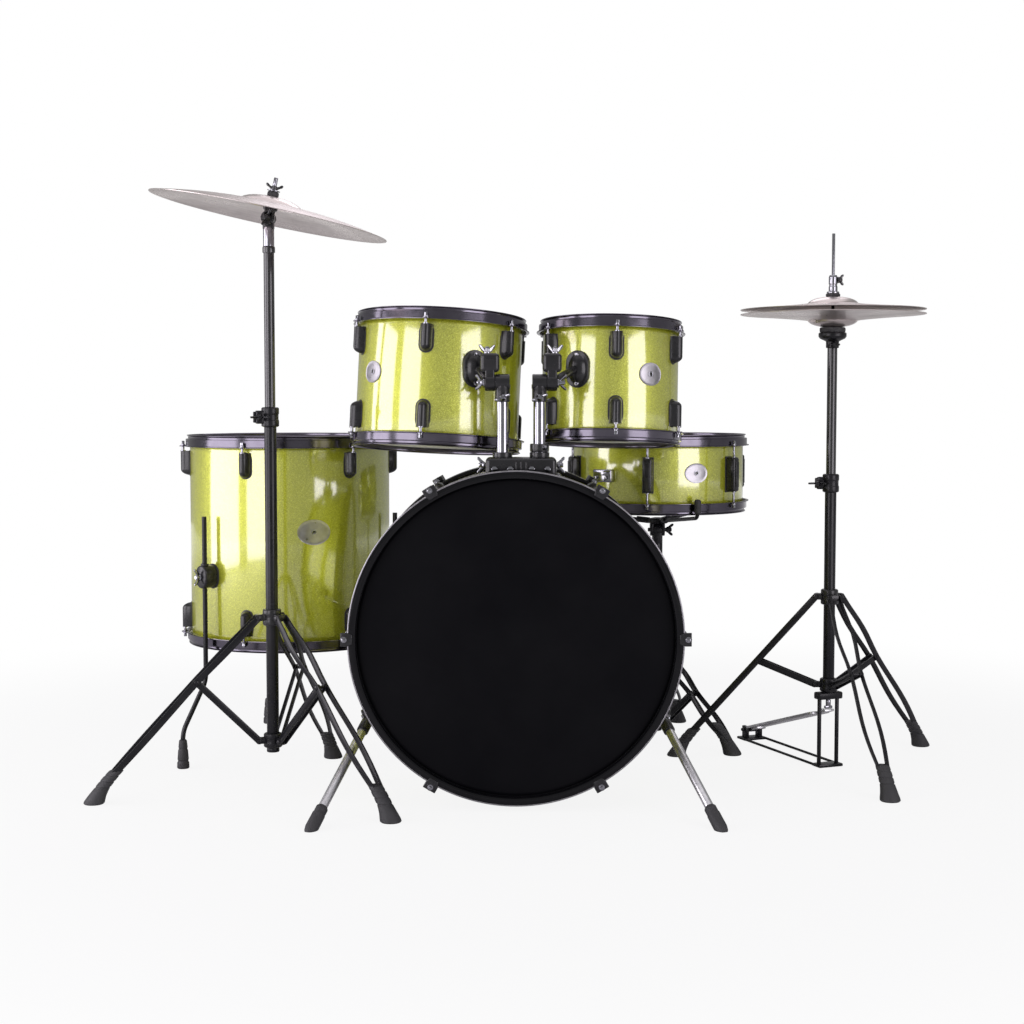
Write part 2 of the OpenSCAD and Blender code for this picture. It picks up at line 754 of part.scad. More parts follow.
module stand_brace(az, low, mid, has_pin) {
  rotate([0, 0, az]) difference() {
    union() {
      strips([low, mid], strip_in, []);
      cross_pin(mid, pin_half(has_pin ? strip_out : strip_in));
    }
    rotate([90, 0, 0]) translate([low.x, low.y, 0]) cylinder(h = 100, r = stud_r - 1 + fit, center = true);
  }
}

// Base tube with its clamp; the lower collar is fixed to it
module base_tube(z0, z1, az, low_z) {
  translate([0, 0, z0]) tube(z1 - clamp_h + 6 - z0, base_tube_r, base_tube_r - tube_wall);
  difference() {
    translate([0, 0, z1 - clamp_h]) cylinder(h = clamp_h, r = clamp_r);
    translate([0, 0, z1 - 2*clamp_h]) cylinder(h = clamp_h + 6, r = base_tube_r);
    translate([0, 0, z1 - clamp_h]) cylinder(h = clamp_h + 1, r = base_tube_r - tube_wall);
  }
  translate([0, 0, z1 - clamp_h/2]) rotate([0, 90, az]) translate([0, 0, clamp_r - 2]) {
    cylinder(h = 14, r = stud_r);
    translate([-11, -3, 10]) cube([22, 6, 10]);
  }
  collar(az, low_z, base_tube_r - eps, 26, strip_in - face_gap, strip_in);
}

module crash_base_tube() {
  color("dimgray") at_crash() base_tube(crash_base_z, crash_base_top, crash_leg_az, crash_low.y);
}
module crash_collar() {
  color("dimgray") at_crash()
    collar(crash_leg_az, crash_top.y, base_tube_r + fit, 30, strip_out - face_gap, strip_out);
}
module crash_leg(i) {
  color("dimgray") at_crash() stand_leg(crash_leg_az + 120*i, crash_top, crash_mid, crash_foot);
}
module crash_leg_1() crash_leg(0);
module crash_leg_2() crash_leg(1);
module crash_leg_3() crash_leg(2);
module crash_brace(i) {
  color("dimgray") at_crash() stand_brace(crash_leg_az + 120*i, crash_low, crash_mid, true);
}
module crash_brace_1() crash_brace(0);
module crash_brace_2() crash_brace(1);
module crash_brace_3() crash_brace(2);

tilter_r = 12;
tilter_half = 7;
post_pin_r = 3.9;                            // threaded end of the cymbal post
post_sleeve_r = 5;                           // sleeve on the post, through the felts
cup_z = 22;                                  // foot of the cymbal's cup
nut_up = 11;                                 // wing nut above the cymbal's hole
nut_h = 12;
wing_x = 16;                                 // half span of the nut's wings
post_over = 36;                              // end of the post above the cymbal's hole
hang = 38;                                   // cymbal's hole above the tilter pivot
felt_ball = 13;
felt_top_ball = 12;
module crash_upper_tube() {
  color("dimgray") at_crash() {
    translate([0, 0, crash_upper_z])
      tube(crash_upper_top - crash_upper_z, upper_tube_r, upper_tube_r - tube_wall);
    difference() {
      union() {
        translate([0, 0, crash_upper_top]) cylinder(h = crash_pivot_z - crash_upper_top - 8, r = 10);
        translate([-10, -tilter_half, crash_pivot_z - 20]) cube([20, 2*tilter_half, 20]);
        translate([0, 0, crash_pivot_z]) rotate([90, 0, 0])
          cylinder(h = 2*tilter_half, r = tilter_r, center = true);
      }
      translate([-30, -30, crash_pivot_z - 14]) cube([60, 30 - tilter_half, 40]);
      translate([-30, tilter_half, crash_pivot_z - 14]) cube([60, 30, 40]);
    }
    translate([0, 0, crash_pivot_z]) rotate([90, 0, 0])
      cylinder(h = 2*(tilter_half + 9), r = stud_r, center = true);
  }
}

module at_cymbal() { at_crash() translate([0, 0, crash_pivot_z]) rotate([0, crash_lean, 0]) children(); }

module crash_tilter() {
  color("silver") at_cymbal() {
    difference() {
      union() {
        for (s = [-1, 1]) translate([0, s*(tilter_half + face_gap + 3), 0]) rotate([90, 0, 0])
          cylinder(h = 6, r = tilter_r, center = true);
        translate([-8, -tilter_half - face_gap - 6, 0]) cube([16, 2*(tilter_half + face_gap + 6), 18]);
        translate([0, 0, 14]) cylinder(h = cup_z - 14, r = 12);
      }
      translate([-20, -tilter_half - face_gap, -20]) cube([40, 2*(tilter_half + face_gap), 33]);
      rotate([90, 0, 0]) cylinder(h = 60, r = stud_r + fit, center = true);
    }
    difference() {
      translate([0, 0, cup_z]) cylinder(h = hang - 6 - cup_z, r = 14);
      translate([0, 0, hang]) sphere(felt_ball + face_gap);
    }
    translate([0, 0, cup_z + eps]) cylinder(h = hang + nut_up - cup_z, r = post_sleeve_r);
    translate([0, 0, hang + nut_up]) {
      cylinder(h = 2, r = 12);
      translate([0, 0, 2 - eps]) cylinder(h = nut_h - 2 + eps, r = 7);
      translate([-wing_x, -2, nut_h - 9]) cube([2*wing_x, 4, 9]);
      translate([0, 0, nut_h - 1]) cylinder(h = 2 + eps, r = post_pin_r - 0.5);
      translate([0, 0, nut_h + 1]) cylinder(h = post_over - nut_up - nut_h - 1, r = post_pin_r);
    }
  }
}

// ---- Cymbals: the edge lies at z = 0, the bell's flat top carries the hole ----
bell_flat = 16;
cymbal_t = 1.2;
function bell_r(r) = r*0.27;
function cymbal_z(q, r, bow, bell) = q <= bell_r(r)
  ? bow + bell*sqrt(1 - pow(max(0, q - bell_flat)/(bell_r(r) - bell_flat), 2)*0.97)
    - bell*sqrt(0.03)*max(0, q - bell_flat)/(bell_r(r) - bell_flat)
  : bow*(1 - pow((q - bell_r(r))/(r - bell_r(r)), 1.7));
module cymbal(r, bow, bell, hole) {
  rb = bell_r(r);
  q = concat([hole, bell_flat], [for (i = [1 : 7]) bell_flat + (rb - bell_flat)*sin(i*90/7)],
             [for (i = [1 : 8]) rb + (r - rb)*i/8]);
  rotate_extrude() polygon(concat(
    [for (x = q) [x, cymbal_z(x, r, bow, bell)]],
    [for (i = [len(q) - 1 : -1 : 0]) [q[i], cymbal_z(q[i], r, bow, bell) - cymbal_t]]
  ));
}

module crash_cymbal() {
  color("tan") at_cymbal() {
    translate([0, 0, hang - crash_bow - crash_bell + cymbal_t/2])
      cymbal(crash_r, crash_bow, crash_bell, 6.5);
    difference() {
      intersection() {
        translate([0, 0, hang]) sphere(felt_ball);
        translate([0, 0, hang - 40 - cymbal_t/2]) cylinder(h = 40, r = 11);
      }
      cylinder(h = 200, r = 7, center = true);
    }
    difference() {
      intersection() {
        translate([0, 0, hang]) sphere(felt_top_ball);
        translate([0, 0, hang + cymbal_t/2]) cylinder(h = nut_up - 1.4, r = 10.5);
      }
      cylinder(h = 200, r = 7, center = true);
    }
  }
}

// ---- Snare drum and its stand ----
snare_top = [pivot_r, 185];
snare_low = [pivot_r, 42];
snare_mid = [106, 110];
snare_pivot_z = snare_z - 52;
basket_hub_r = 13;
basket_half = 9;
basket_arm_r = 4;
basket_arm_az = tom_lug_az + snare_lug_turn + 30;   // between two lugs
basket_reach = snare_r + ear_out + 8.5;      // upright ends of the arms, past the hoop's ears
strainer_az = tom_lug_az + snare_lug_turn + 150;  // between two lugs, toward the player
module at_snare() { translate(snare_at) children(); }

module snare_foot_leg(az) {
  way = (snare_mid - snare_top)/norm(snare_mid - snare_top);
  foot = [snare_foot_reach - 12, leg_end_z];
  rotate([0, 0, az]) {
    strips([snare_top, foot], strip_out, [snare_top]);
    rubber_foot(snare_top, foot, strip_out);
    strips([snare_low, snare_top + (foot - snare_top)*0.42], strip_in, [snare_low]);
    cross_pin(snare_top + (foot - snare_top)*0.42, pin_half(strip_out));
  }
}

module snare_stand_base() {
  color("dimgray") translate([snare_x, snare_y, 0]) {
    translate([0, 0, 26]) tube(snare_pivot_z - basket_hub_r - 26, snare_tube_r, snare_tube_r - tube_wall);
    collar(312, snare_top.y, snare_tube_r - eps, 30, strip_out - face_gap, strip_out);
    collar(312, snare_low.y, snare_tube_r - eps, 26, strip_in - face_gap, strip_in);
    for (i = [0 : 2]) snare_foot_leg(312 + 120*i);
    translate([0, 0, 300]) tube(36, clamp_r, snare_tube_r - eps);
    translate([clamp_r - 2, 0, 318]) rotate([0, 90, 0]) cylinder(h = 16, r = stud_r);
    translate([0, 0, snare_pivot_z]) {
      rotate([0, 90, 0]) cylinder(h = 2*basket_half, r = basket_hub_r, center = true);
      rotate([0, 90, 0]) cylinder(h = 2*(basket_half + 11), r = stud_r, center = true);
      translate([-basket_half, -11, -30]) cube([2*basket_half, 22, 30]);
    }
  }
}

module snare_basket() {
  plate_z = basket_hub_r + 2;
  arm_z = snare_z - rim_h - snare_pivot_z - basket_arm_r - face_gap;
  color("dimgray") translate([snare_x, snare_y, snare_pivot_z]) {
    difference() {
      union() {
        for (s = [-1, 1]) translate([s*(basket_half + face_gap + 3), 0, 0]) rotate([0, 90, 0])
          cylinder(h = 6, r = basket_hub_r, center = true);
        for (s = [-1, 1]) translate([s*(basket_half + face_gap + 3) - 3, -basket_hub_r, 0])
          cube([6, 2*basket_hub_r, plate_z + 2]);
        translate([0, 0, plate_z]) cylinder(h = 8, r = 21);
      }
      rotate([0, 90, 0]) cylinder(h = 80, r = stud_r + fit, center = true);
    }
    rotate([0, 0, basket_arm_az]) around(3) {
      rod([14, 0, plate_z + 4], [basket_reach, 0, arm_z], basket_arm_r);
      translate([basket_reach, 0, arm_z - basket_arm_r]) cylinder(h = 38, r = basket_arm_r);
      translate([basket_reach, 0, arm_z + 10]) cylinder(h = 26, r = 7);
    }
  }
}

module snare_drum_tube() { color("yellowgreen") at_snare() drum_tube(snare_r, snare_depth, shell_wall); }
module snare_hoops() {
  color("black") at_snare() rotate([0, 0, tom_lug_az + snare_lug_turn])
    both_ends(snare_depth) metal_hoop(snare_r);
}
module snare_heads() { color("white") at_snare() both_ends(snare_depth) drum_head(snare_r); }
snare_lug_w = 20;
snare_lug_len = 70;
module snare_lugs() {
  start = (snare_depth - snare_lug_len)/2;
  color("dimgray") at_snare() rotate([0, 0, tom_lug_az + snare_lug_turn]) {
    around(rack_lugs) difference() {
      translate([0, 0, start]) outward(snare_r - 5, snare_r + lug_out - 3)
        translate([-snare_lug_w/2, 0]) square([snare_lug_w, snare_lug_len]);
      cylinder(h = snare_depth, r = snare_r + seat_gap);
    }
    both_ends(snare_depth) around(rack_lugs) tension_rod(snare_r, rod_out, ear_z, start);
  }
}

// Throw-off, butt plate and the wires under the lower head
lever_z = 48;
lever_pin_out = snare_r + 29;
module snare_strainer() {
  color("silver") at_snare() rotate([0, 0, strainer_az]) {
    difference() {
      union() {
        translate([0, 0, 38]) outward(snare_r - 5, snare_r + 22) translate([-15, 0]) square([30, 64]);
        for (s = [-1, 1]) translate([snare_r + 15, s*12 - 3, lever_z - 7])
          cube([lever_pin_out - snare_r - 8, 6, 14]);
      }
      cylinder(h = snare_depth, r = snare_r + seat_gap);
    }
    translate([lever_pin_out, 0, lever_z]) rotate([90, 0, 0]) cylinder(h = 30, r = 2.5, center = true);
    difference() {
      translate([0, 0, 52]) outward(-snare_r - 14, -snare_r + 5) translate([-15, 0]) square([30, 36]);
      cylinder(h = snare_depth, r = snare_r + seat_gap);
    }
    translate([-snare_r + 14, -30, -film - 1]) cube([2*snare_r - 28, 60, 0.9]);
  }
}

module strainer_lever() {
  color("dimgray") at_snare() rotate([0, 0, strainer_az]) translate([lever_pin_out, 0, lever_z])
    difference() {
      union() {
        rotate([90, 0, 0]) cylinder(h = 16, r = 5, center = true);
        translate([-1, -8, 0]) cube([5, 16, 60]);
      }
      rotate([90, 0, 0]) cylinder(h = 40, r = 2.5 + fit, center = true);
    }
}

// ---- Hi-hat ----
hihat_top = [pivot_r, 336];
hihat_low = [pivot_r, 162];
hihat_mid = [141, 204];
hihat_foot = [hihat_top.x + (hihat_mid.x - hihat_top.x)*(hihat_top.y - leg_end_z)/(hihat_top.y - hihat_mid.y),
              leg_end_z];
pull_rod_r = 3;
seat_z = hihat_edge_z - hihat_bow - hihat_bell;   // lower face of the lower cymbal's bell
heel_x = 296;
heel_z = 22;
toe_z = 108;
frame_half = 20;
strap_z = toe_z + 6.4;
module at_hihat() { translate([hihat_x, hihat_y, 0]) children(); }

module hihat_base_tube() {
  color("dimgray") at_hihat() {
    base_tube(146, hihat_base_top, hihat_leg_az, hihat_low.y);
    rotate([0, 0, hihat_heel_az]) {
      difference() {
        translate([-11, -frame_half - 7, 134]) cube([22, 2*frame_half + 14, 14]);
        cylinder(h = 300, r = pull_rod_r + 0.5);
      }
      for (s = [-1, 1]) {
        translate([0, s*frame_half, 4]) cylinder(h = 131, r = 4);
        translate([-14, s*(frame_half + 4) - 6, 0]) cube([heel_x + 26, 12, 5]);
        translate([heel_x, s*16, 4.5]) translate([-9, -4, 0]) cube([18, 8, heel_z + 3]);
      }
      translate([heel_x - 16, -frame_half - 7, 0]) cube([34, 2*frame_half + 14, 5]);
      translate([-14, -frame_half - 7, 0]) cube([28, 2*frame_half + 14, 5]);
      translate([heel_x, 0, heel_z]) rotate([90, 0, 0]) cylinder(h = 52, r = 3, center = true);
    }
  }
}

module hihat_footboard() {
  a = atan2(toe_z - heel_z, heel_x);
  l = norm([toe_z - heel_z, heel_x]);
  color("silver") at_hihat() rotate([0, 0, hihat_heel_az]) translate([heel_x, 0, heel_z])
    rotate([0, a, 0]) difference() {
      union() {
        translate([-40, -11.5, -5]) cube([46, 23, 10]);
        translate([-l + 28, -24, 0]) cube([l - 40, 48, 5]);
        translate([-l - 6, -12, 0]) cube([40, 24, 5]);
      }
      rotate([90, 0, 0]) cylinder(h = 80, r = 3 + fit, center = true);
    }
}

module hihat_pull_rod() {
  color("silver") at_hihat() {
    translate([0, 0, strap_z + 4]) cylinder(h = hihat_rod_top - strap_z - 4, r = pull_rod_r);
    rotate([0, 0, hihat_heel_az]) translate([-3, -8, strap_z]) cube([6, 16, 6]);
  }
}

module hihat_collar() {
  color("dimgray") at_hihat()
    collar(hihat_leg_az, hihat_top.y, base_tube_r + fit, 30, strip_out - face_gap, strip_out);
}
module hihat_leg(i) {
  color("dimgray") at_hihat() stand_leg(hihat_leg_az + 120*i, hihat_top, hihat_mid, hihat_foot);
}
module hihat_leg_1() hihat_leg(0);
module hihat_leg_2() hihat_leg(1);
module hihat_leg_3() hihat_leg(2);
module hihat_brace(i) {
  color("dimgray") at_hihat() stand_brace(hihat_leg_az + 120*i, hihat_low, hihat_mid, false);
}
module hihat_brace_1() hihat_brace(0);
module hihat_brace_2() hihat_brace(1);
module hihat_brace_3() hihat_brace(2);

seat_cup_h = 8;
seat_felt_h = 10;
module hihat_upper_tube() {
  cup_z = seat_z - seat_felt_h - seat_cup_h;
  color("dimgray") at_hihat() {
    translate([0, 0, 440]) tube(cup_z - 8 - 440, upper_tube_r, upper_tube_r - tube_wall);
    difference() {
      union() {
        translate([0, 0, cup_z - 8]) cylinder(h = 8, r = 13);
        translate([0, 0, cup_z]) cylinder(h = seat_cup_h, r = 22);
        translate([0, 0, cup_z]) cylinder(h = seat_cup_h + seat_felt_h + 10, r = 5.5);
      }
      translate([0, 0, cup_z - 20]) cylinder(h = 100, r = pull_rod_r + 1);
    }
    translate([0, 0, seat_z - seat_felt_h]) tube(seat_felt_h, 20, 5.8);
  }
}

module hihat_bottom_cymbal() {
  color("tan") at_hihat() translate([0, 0, hihat_edge_z]) mirror([0, 0, 1])
    cymbal(hihat_r, hihat_bow, hihat_bell, 6.5);
}

module hihat_top_cymbal() {
  bell_z = hihat_edge_z + hihat_open + hihat_bow + hihat_bell;
  color("tan") at_hihat() {
    translate([0, 0, bell_z - hihat_bow - hihat_bell]) cymbal(hihat_r, hihat_bow, hihat_bell, 6.5);
    translate([0, 0, bell_z]) tube(7, 14, 6);
    translate([0, 0, bell_z - cymbal_t - 6]) tube(6, 13, 6);
    difference() {
      union() {
        translate([0, 0, bell_z - cymbal_t - 12]) cylinder(h = 50, r = 6);
        translate([0, 0, bell_z - cymbal_t - 12]) cylinder(h = 6, r = 10);
        translate([0, 0, bell_z + 7]) cylinder(h = 3, r = 12);
        translate([0, 0, bell_z + 10]) cylinder(h = 32, r = 8.5);
        translate([8, 0, bell_z + 33]) rotate([0, 90, 0]) cylinder(h = 12, r = 3);
      }
      cylinder(h = 2000, r = pull_rod_r + fit);
    }
  }
}

bass_drum_tube();
bass_hoops();
bass_front_head();
bass_batter_head();
bass_lugs();
bass_brackets();
bass_spur_left();
bass_spur_right();
bass_pedal_frame();
bass_pedal_footboard();
bass_pedal_beater();
tom_post_left();
tom_post_right();
low_tom_drum_tube();
low_tom_hoops();
low_tom_heads();
low_tom_lugs();
low_tom_bracket();
high_tom_drum_tube();
high_tom_hoops();
high_tom_heads();
high_tom_lugs();
high_tom_bracket();
floor_tom_drum_tube();
floor_tom_hoops();
floor_tom_heads();
floor_tom_lugs();
floor_tom_legs();
snare_stand_base();
snare_basket();
snare_drum_tube();
snare_hoops();
snare_heads();
snare_lugs();
snare_strainer();
strainer_lever();
hihat_base_tube();
hihat_collar();
hihat_leg_1();
hihat_leg_2();
hihat_leg_3();
hihat_brace_1();
hihat_brace_2();
hihat_brace_3();
hihat_upper_tube();
hihat_bottom_cymbal();
hihat_pull_rod();
hihat_top_cymbal();
hihat_footboard();
crash_base_tube();
crash_collar();
crash_leg_1();
crash_leg_2();
crash_leg_3();
crash_brace_1();
crash_brace_2();
crash_brace_3();
crash_upper_tube();
crash_tilter();
crash_cymbal();
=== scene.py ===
"""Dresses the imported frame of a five-piece drum kit: shells, hoops, heads, lugs, cymbals, stands.

Shapes are built in millimetres, in the frame's own axes. Each finished piece is brought to metres.
"""

import json
import math

import bmesh
import bpy
from mathutils import Matrix, Vector


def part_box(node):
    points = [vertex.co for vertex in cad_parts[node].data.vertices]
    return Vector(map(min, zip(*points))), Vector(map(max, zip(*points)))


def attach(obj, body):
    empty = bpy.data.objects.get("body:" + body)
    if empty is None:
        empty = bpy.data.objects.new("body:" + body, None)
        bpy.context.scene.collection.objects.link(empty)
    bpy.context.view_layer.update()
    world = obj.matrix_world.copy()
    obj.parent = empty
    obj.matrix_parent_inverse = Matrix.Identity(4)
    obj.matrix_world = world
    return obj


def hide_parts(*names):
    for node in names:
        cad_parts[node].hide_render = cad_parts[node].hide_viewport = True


bl_info = {
    "name": "Drum Kit Dresser",
    "version": (1, 0, 0),
    "blender": (4, 5, 0),
    "location": "View3D > Sidebar > Drum Kit",
    "description": "Models the visible pieces of a drum kit around its packed frame",
    "category": "Object",
}

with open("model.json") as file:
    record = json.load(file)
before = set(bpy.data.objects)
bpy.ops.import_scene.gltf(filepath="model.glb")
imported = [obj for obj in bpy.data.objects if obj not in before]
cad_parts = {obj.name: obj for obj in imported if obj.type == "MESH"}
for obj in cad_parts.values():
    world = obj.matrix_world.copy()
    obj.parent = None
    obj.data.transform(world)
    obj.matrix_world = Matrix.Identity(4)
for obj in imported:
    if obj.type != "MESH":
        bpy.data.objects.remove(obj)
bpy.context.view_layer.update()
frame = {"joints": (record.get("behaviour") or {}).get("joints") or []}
JOINTS = {joint["name"]: joint for joint in frame["joints"]}
TO_MM = 1000.0
SMOOTH_BELOW = 32
CAP_STEPS = 6


def joint_at(name):
    """Where a hinge's axis passes, in millimetres."""
    return Vector(JOINTS[name]["pos_m"]) * TO_MM


def node_box(name):
    low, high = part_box(name)
    return low * TO_MM, high * TO_MM


def node_middle(name):
    low, high = node_box(name)
    return (low + high) / 2


def half_width(name, axis=0):
    low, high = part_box(name)
    return (high[axis] - low[axis]) / 2


# ---- Placing ----
def T(x, y, z):
    return Matrix.Translation((x, y, z))


def R(degrees, axis):
    return Matrix.Rotation(math.radians(degrees), 4, axis)


def along(start, end):
    """Turns +Z from the origin onto the line from start to end."""
    way = Vector(end) - Vector(start)
    return T(*start) @ way.to_track_quat("Z", "Y").to_matrix().to_4x4()


# ---- Modelling: each helper leaves one object whose place is in its mesh ----
def bare():
    bpy.ops.object.select_all(action="DESELECT")


def edit(kind="VERT"):
    bpy.ops.object.mode_set(mode="EDIT")
    bpy.ops.mesh.select_mode(type=kind)


def choose(test, kind="VERT"):
    """Selects the vertices, edges or faces of the edited mesh that pass test."""
    bpy.ops.mesh.select_mode(type=kind)
    bpy.ops.mesh.select_all(action="DESELECT")
    mesh = bpy.context.object.data
    shape = bmesh.from_edit_mesh(mesh)
    items = {"VERT": shape.verts, "EDGE": shape.edges, "FACE": shape.faces}[kind]
    found = 0
    for item in items:
        if test(item):
            item.select_set(True)
            found += 1
    shape.select_flush_mode()
    bmesh.update_edit_mesh(mesh)
    return found


def choose_all():
    bpy.ops.mesh.select_all(action="SELECT")


def placed():
    """Leaves edit mode and puts the object's place into its mesh."""
    if bpy.context.object.mode != "OBJECT":
        bpy.ops.object.mode_set(mode="OBJECT")
    bpy.ops.object.transform_apply(location=True, rotation=True, scale=True)
    return bpy.context.object


def moved(part, place):
    part.data.transform(place)
    return part


def spread(part, places):
    """One copy of part for each place, each with its own mesh."""
    copies = []
    for place in places:
        other = part.copy()
        other.data = part.data.copy()
        bpy.context.collection.objects.link(other)
        other.data.transform(place)
        copies.append(other)
    bpy.data.objects.remove(part)
    return copies


def copies(parts, places):
    return [p for part in parts for p in spread(part, places)]


def fan(count, first=0, axis="Z"):
    """Even turns round an axis."""
    return [R(first + i * 360 / count, axis) for i in range(count)]


def round_edges(amount, test, segments=2):
    if amount and choose(test, "EDGE"):
        bpy.ops.mesh.bevel(offset=amount, segments=segments, affect="EDGES", clamp_overlap=True)


def is_rim(edge):
    """An edge of a flat many-sided end."""
    return any(len(face.verts) > 4 for face in edge.link_faces)


def pin(start, end, radius, soften=0.5, sides=32):
    """Round bar from start to end, with softened rims."""
    start, end = Vector(start), Vector(end)
    bare()
    bpy.ops.mesh.primitive_cylinder_add(
        vertices=sides, radius=radius, depth=(end - start).length, location=(start + end) / 2,
        rotation=(end - start).to_track_quat("Z", "Y").to_euler())
    placed()
    edit()
    round_edges(soften, is_rim)
    return placed()


def block(size, at, soften, segments=2):
    """Box of a size, centred at a point, with rounded edges."""
    bare()
    bpy.ops.mesh.primitive_cube_add(size=1, location=at, scale=size)
    placed()
    edit()
    round_edges(soften, lambda edge: True, segments)
    return placed()


def chain(points):
    """Starts an edited mesh as one line of vertices through the points."""
    bare()
    bpy.ops.mesh.primitive_plane_add(size=0.01, location=(0, 0, 0))
    edit()
    choose_all()
    bpy.ops.mesh.merge(type="CENTER")
    last = Vector(points[0])
    bpy.ops.transform.translate(value=last)
    for point in points[1:]:
        step = Vector(point) - last
        bpy.ops.mesh.extrude_region_move(TRANSFORM_OT_translate={"value": step})
        last = Vector(point)


def turned(profile, steps, place=None):
    """Spins a profile of (radius, height) points round Z."""
    chain([(radius, 0, height) for radius, height in profile])
    choose_all()
    bpy.ops.mesh.spin(steps=steps, angle=2 * math.pi, center=(0, 0, 0), axis=(0, 0, 1))
    choose_all()
    bpy.ops.mesh.remove_doubles(threshold=1e-4)
    bpy.ops.mesh.normals_make_consistent(inside=False)
    part = placed()
    return moved(part, place) if place else part


def prism(outline, low, high, soften, place=None, segments=2):
    """Plate with an outline of (x, y) points, from low to high along Z."""
    chain([(x, y, low) for x, y in outline])
    choose_all()
    bpy.ops.mesh.edge_face_add()
    choose_all()
    bpy.ops.mesh.extrude_region_move(TRANSFORM_OT_translate={"value": (0, 0, high - low)})
    choose_all()
    bpy.ops.mesh.normals_make_consistent(inside=False)
    round_edges(soften, is_rim, segments)
    part = placed()
    return moved(part, place) if place else part


def softened(points, radius, steps=3, closed=False):
    """Points with their corners rounded off."""
    points = [Vector(p) for p in points]
    count = len(points)
    result = []
    for i, corner in enumerate(points):
        if not closed and i in (0, count - 1):
            result.append(corner)
            continue
        before, after = points[i - 1] - corner, points[(i + 1) % count] - corner
        reach = min(radius, before.length * 0.45, after.length * 0.45)
        first, last = corner + before.normalized() * reach, corner + after.normalized() * reach
        for k in range(steps + 1):
            t = k / steps
            result.append(first * (1 - t) ** 2 + corner * 2 * t * (1 - t) + last * t * t)
    return result


def lifted(profile, height):
    """Profile of (radius, height) points, raised."""
    return [(x, z + height) for x, z in profile]


def ring(profile, radius, steps, place=None):
    """Turned piece from a closed profile with softened corners."""
    points = [(p.x, p.y) for p in softened([Vector(p) for p in profile], radius, 2, True)]
    return turned(points + points[:1], steps, place)


def tube(low, high, outer, inner, soften, steps, place=None):
    return ring([(inner, low), (outer, low), (outer, high), (inner, high)], soften, steps, place)


def disc(low, high, radius, soften, steps, place=None):
    """Solid turned button with softened rims."""
    profile = softened([(0, low, 0), (radius, low, 0), (radius, high, 0), (0, high, 0)], soften)
    return turned([(p.x, p.y) for p in profile], steps, place)


def wire(points, radius, bend, sides):
    """Round wire through the points, its corners bent to a curve."""
    path = softened(points, bend, 8) if bend else [Vector(p) for p in points]
    bare()
    bpy.ops.curve.primitive_nurbs_path_add()
    curve = bpy.context.object.data
    curve.splines.clear()
    line = curve.splines.new("POLY")
    line.points.add(len(path) - 1)
    for point, target in zip(path, line.points):
        target.co = (*point, 1)
    curve.dimensions = "3D"
    curve.bevel_depth = radius
    curve.bevel_resolution = sides
    curve.use_fill_caps = True
    bpy.ops.object.convert(target="MESH")
    return placed()


def stadium(width, height, steps=8):
    """Outline with two round ends, its long side along Y."""
    radius, half = width / 2, (height - width) / 2
    arc = [math.pi * k / steps for k in range(steps + 1)]
    upper = [(radius * math.cos(a), half + radius * math.sin(a)) for a in arc]
    return upper + [(-x, -y) for x, y in upper]


def ribbon(path, width):
    """Outline of a flat strip that follows a path and has round ends."""
    path = [Vector(p) for p in path]
    ways = [(b - a).normalized() for a, b in zip(path, path[1:])]
    side = width / 2
    left, right = [], []
    for i, point in enumerate(path):
        near = ways[max(i - 1, 0)]
        far = ways[min(i, len(ways) - 1)]
        middle = (near + far).normalized()
        normal = Vector((-middle.y, middle.x)) * (side / middle.dot(near))
        left.append(point + normal)
        right.append(point - normal)

    def cap(centre, way):
        start = math.atan2(way.y, way.x) + math.pi / 2
        turns = [start - math.pi * k / CAP_STEPS for k in range(1, CAP_STEPS)]
        return [centre + Vector((math.cos(a), math.sin(a))) * side for a in turns]

    outline = left + cap(path[-1], ways[-1]) + right[::-1] + cap(path[0], -ways[0])
    return [(p.x, p.y) for p in outline]


def reopened(part):
    """Takes a finished part back into edit mode."""
    bare()
    bpy.context.view_layer.objects.active = part
    part.select_set(True)
    edit()


def cut_below(part):
    """Cuts a part flat at the floor and closes it."""
    reopened(part)
    choose_all()
    bpy.ops.mesh.bisect(plane_co=(0, 0, 0), plane_no=(0, 0, 1), use_fill=True, clear_inner=True)
    return placed()


def joined(parts):
    bare()
    for part in parts:
        part.select_set(True)
    bpy.context.view_layer.objects.active = parts[0]
    if len(parts) > 1:
        bpy.ops.object.join()
    return bpy.context.view_layer.objects.active


def painted(parts, finish):
    """Gives parts a material, where they have none yet."""
    for part in parts if isinstance(parts, list) else [parts]:
        if not part.data.materials:
            part.data.materials.append(FINISHES[finish])
    return parts


def piece(name, parts, finish, body, slot, *stands_for, place=None):
    """Joins parts, moved to a place, into one finished piece in metres that rides on a body."""
    if place:
        parts = [moved(part, place) for part in parts]
    painted(parts, finish)
    whole = joined(parts)
    whole.name = whole.data.name = name
    whole.data.transform(Matrix.Scale(1 / TO_MM, 4))
    bare()
    whole.select_set(True)
    bpy.context.view_layer.objects.active = whole
    bpy.ops.object.shade_smooth_by_angle(angle=math.radians(SMOOTH_BELOW))
    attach(whole, body)
    if stands_for:
        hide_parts(*stands_for)
    return whole


# ---- Small hardware ----
def key_rod(low, high, x):
    """Tension rod: it runs from low, under its washer, to high, and has a square key head below."""
    return [pin((x, 0, low), (x, 0, high), 2.7, 0.3, 20),
            disc(low - 1.5, low, 5.2, 0.4, 28, T(x, 0, 0)),
            disc(low - 3.2, low - 1.4, 4.0, 0.4, 24, T(x, 0, 0)),
            block((5.8, 5.8, 6.6), (x, 0, low - 6.2), 0.7)]


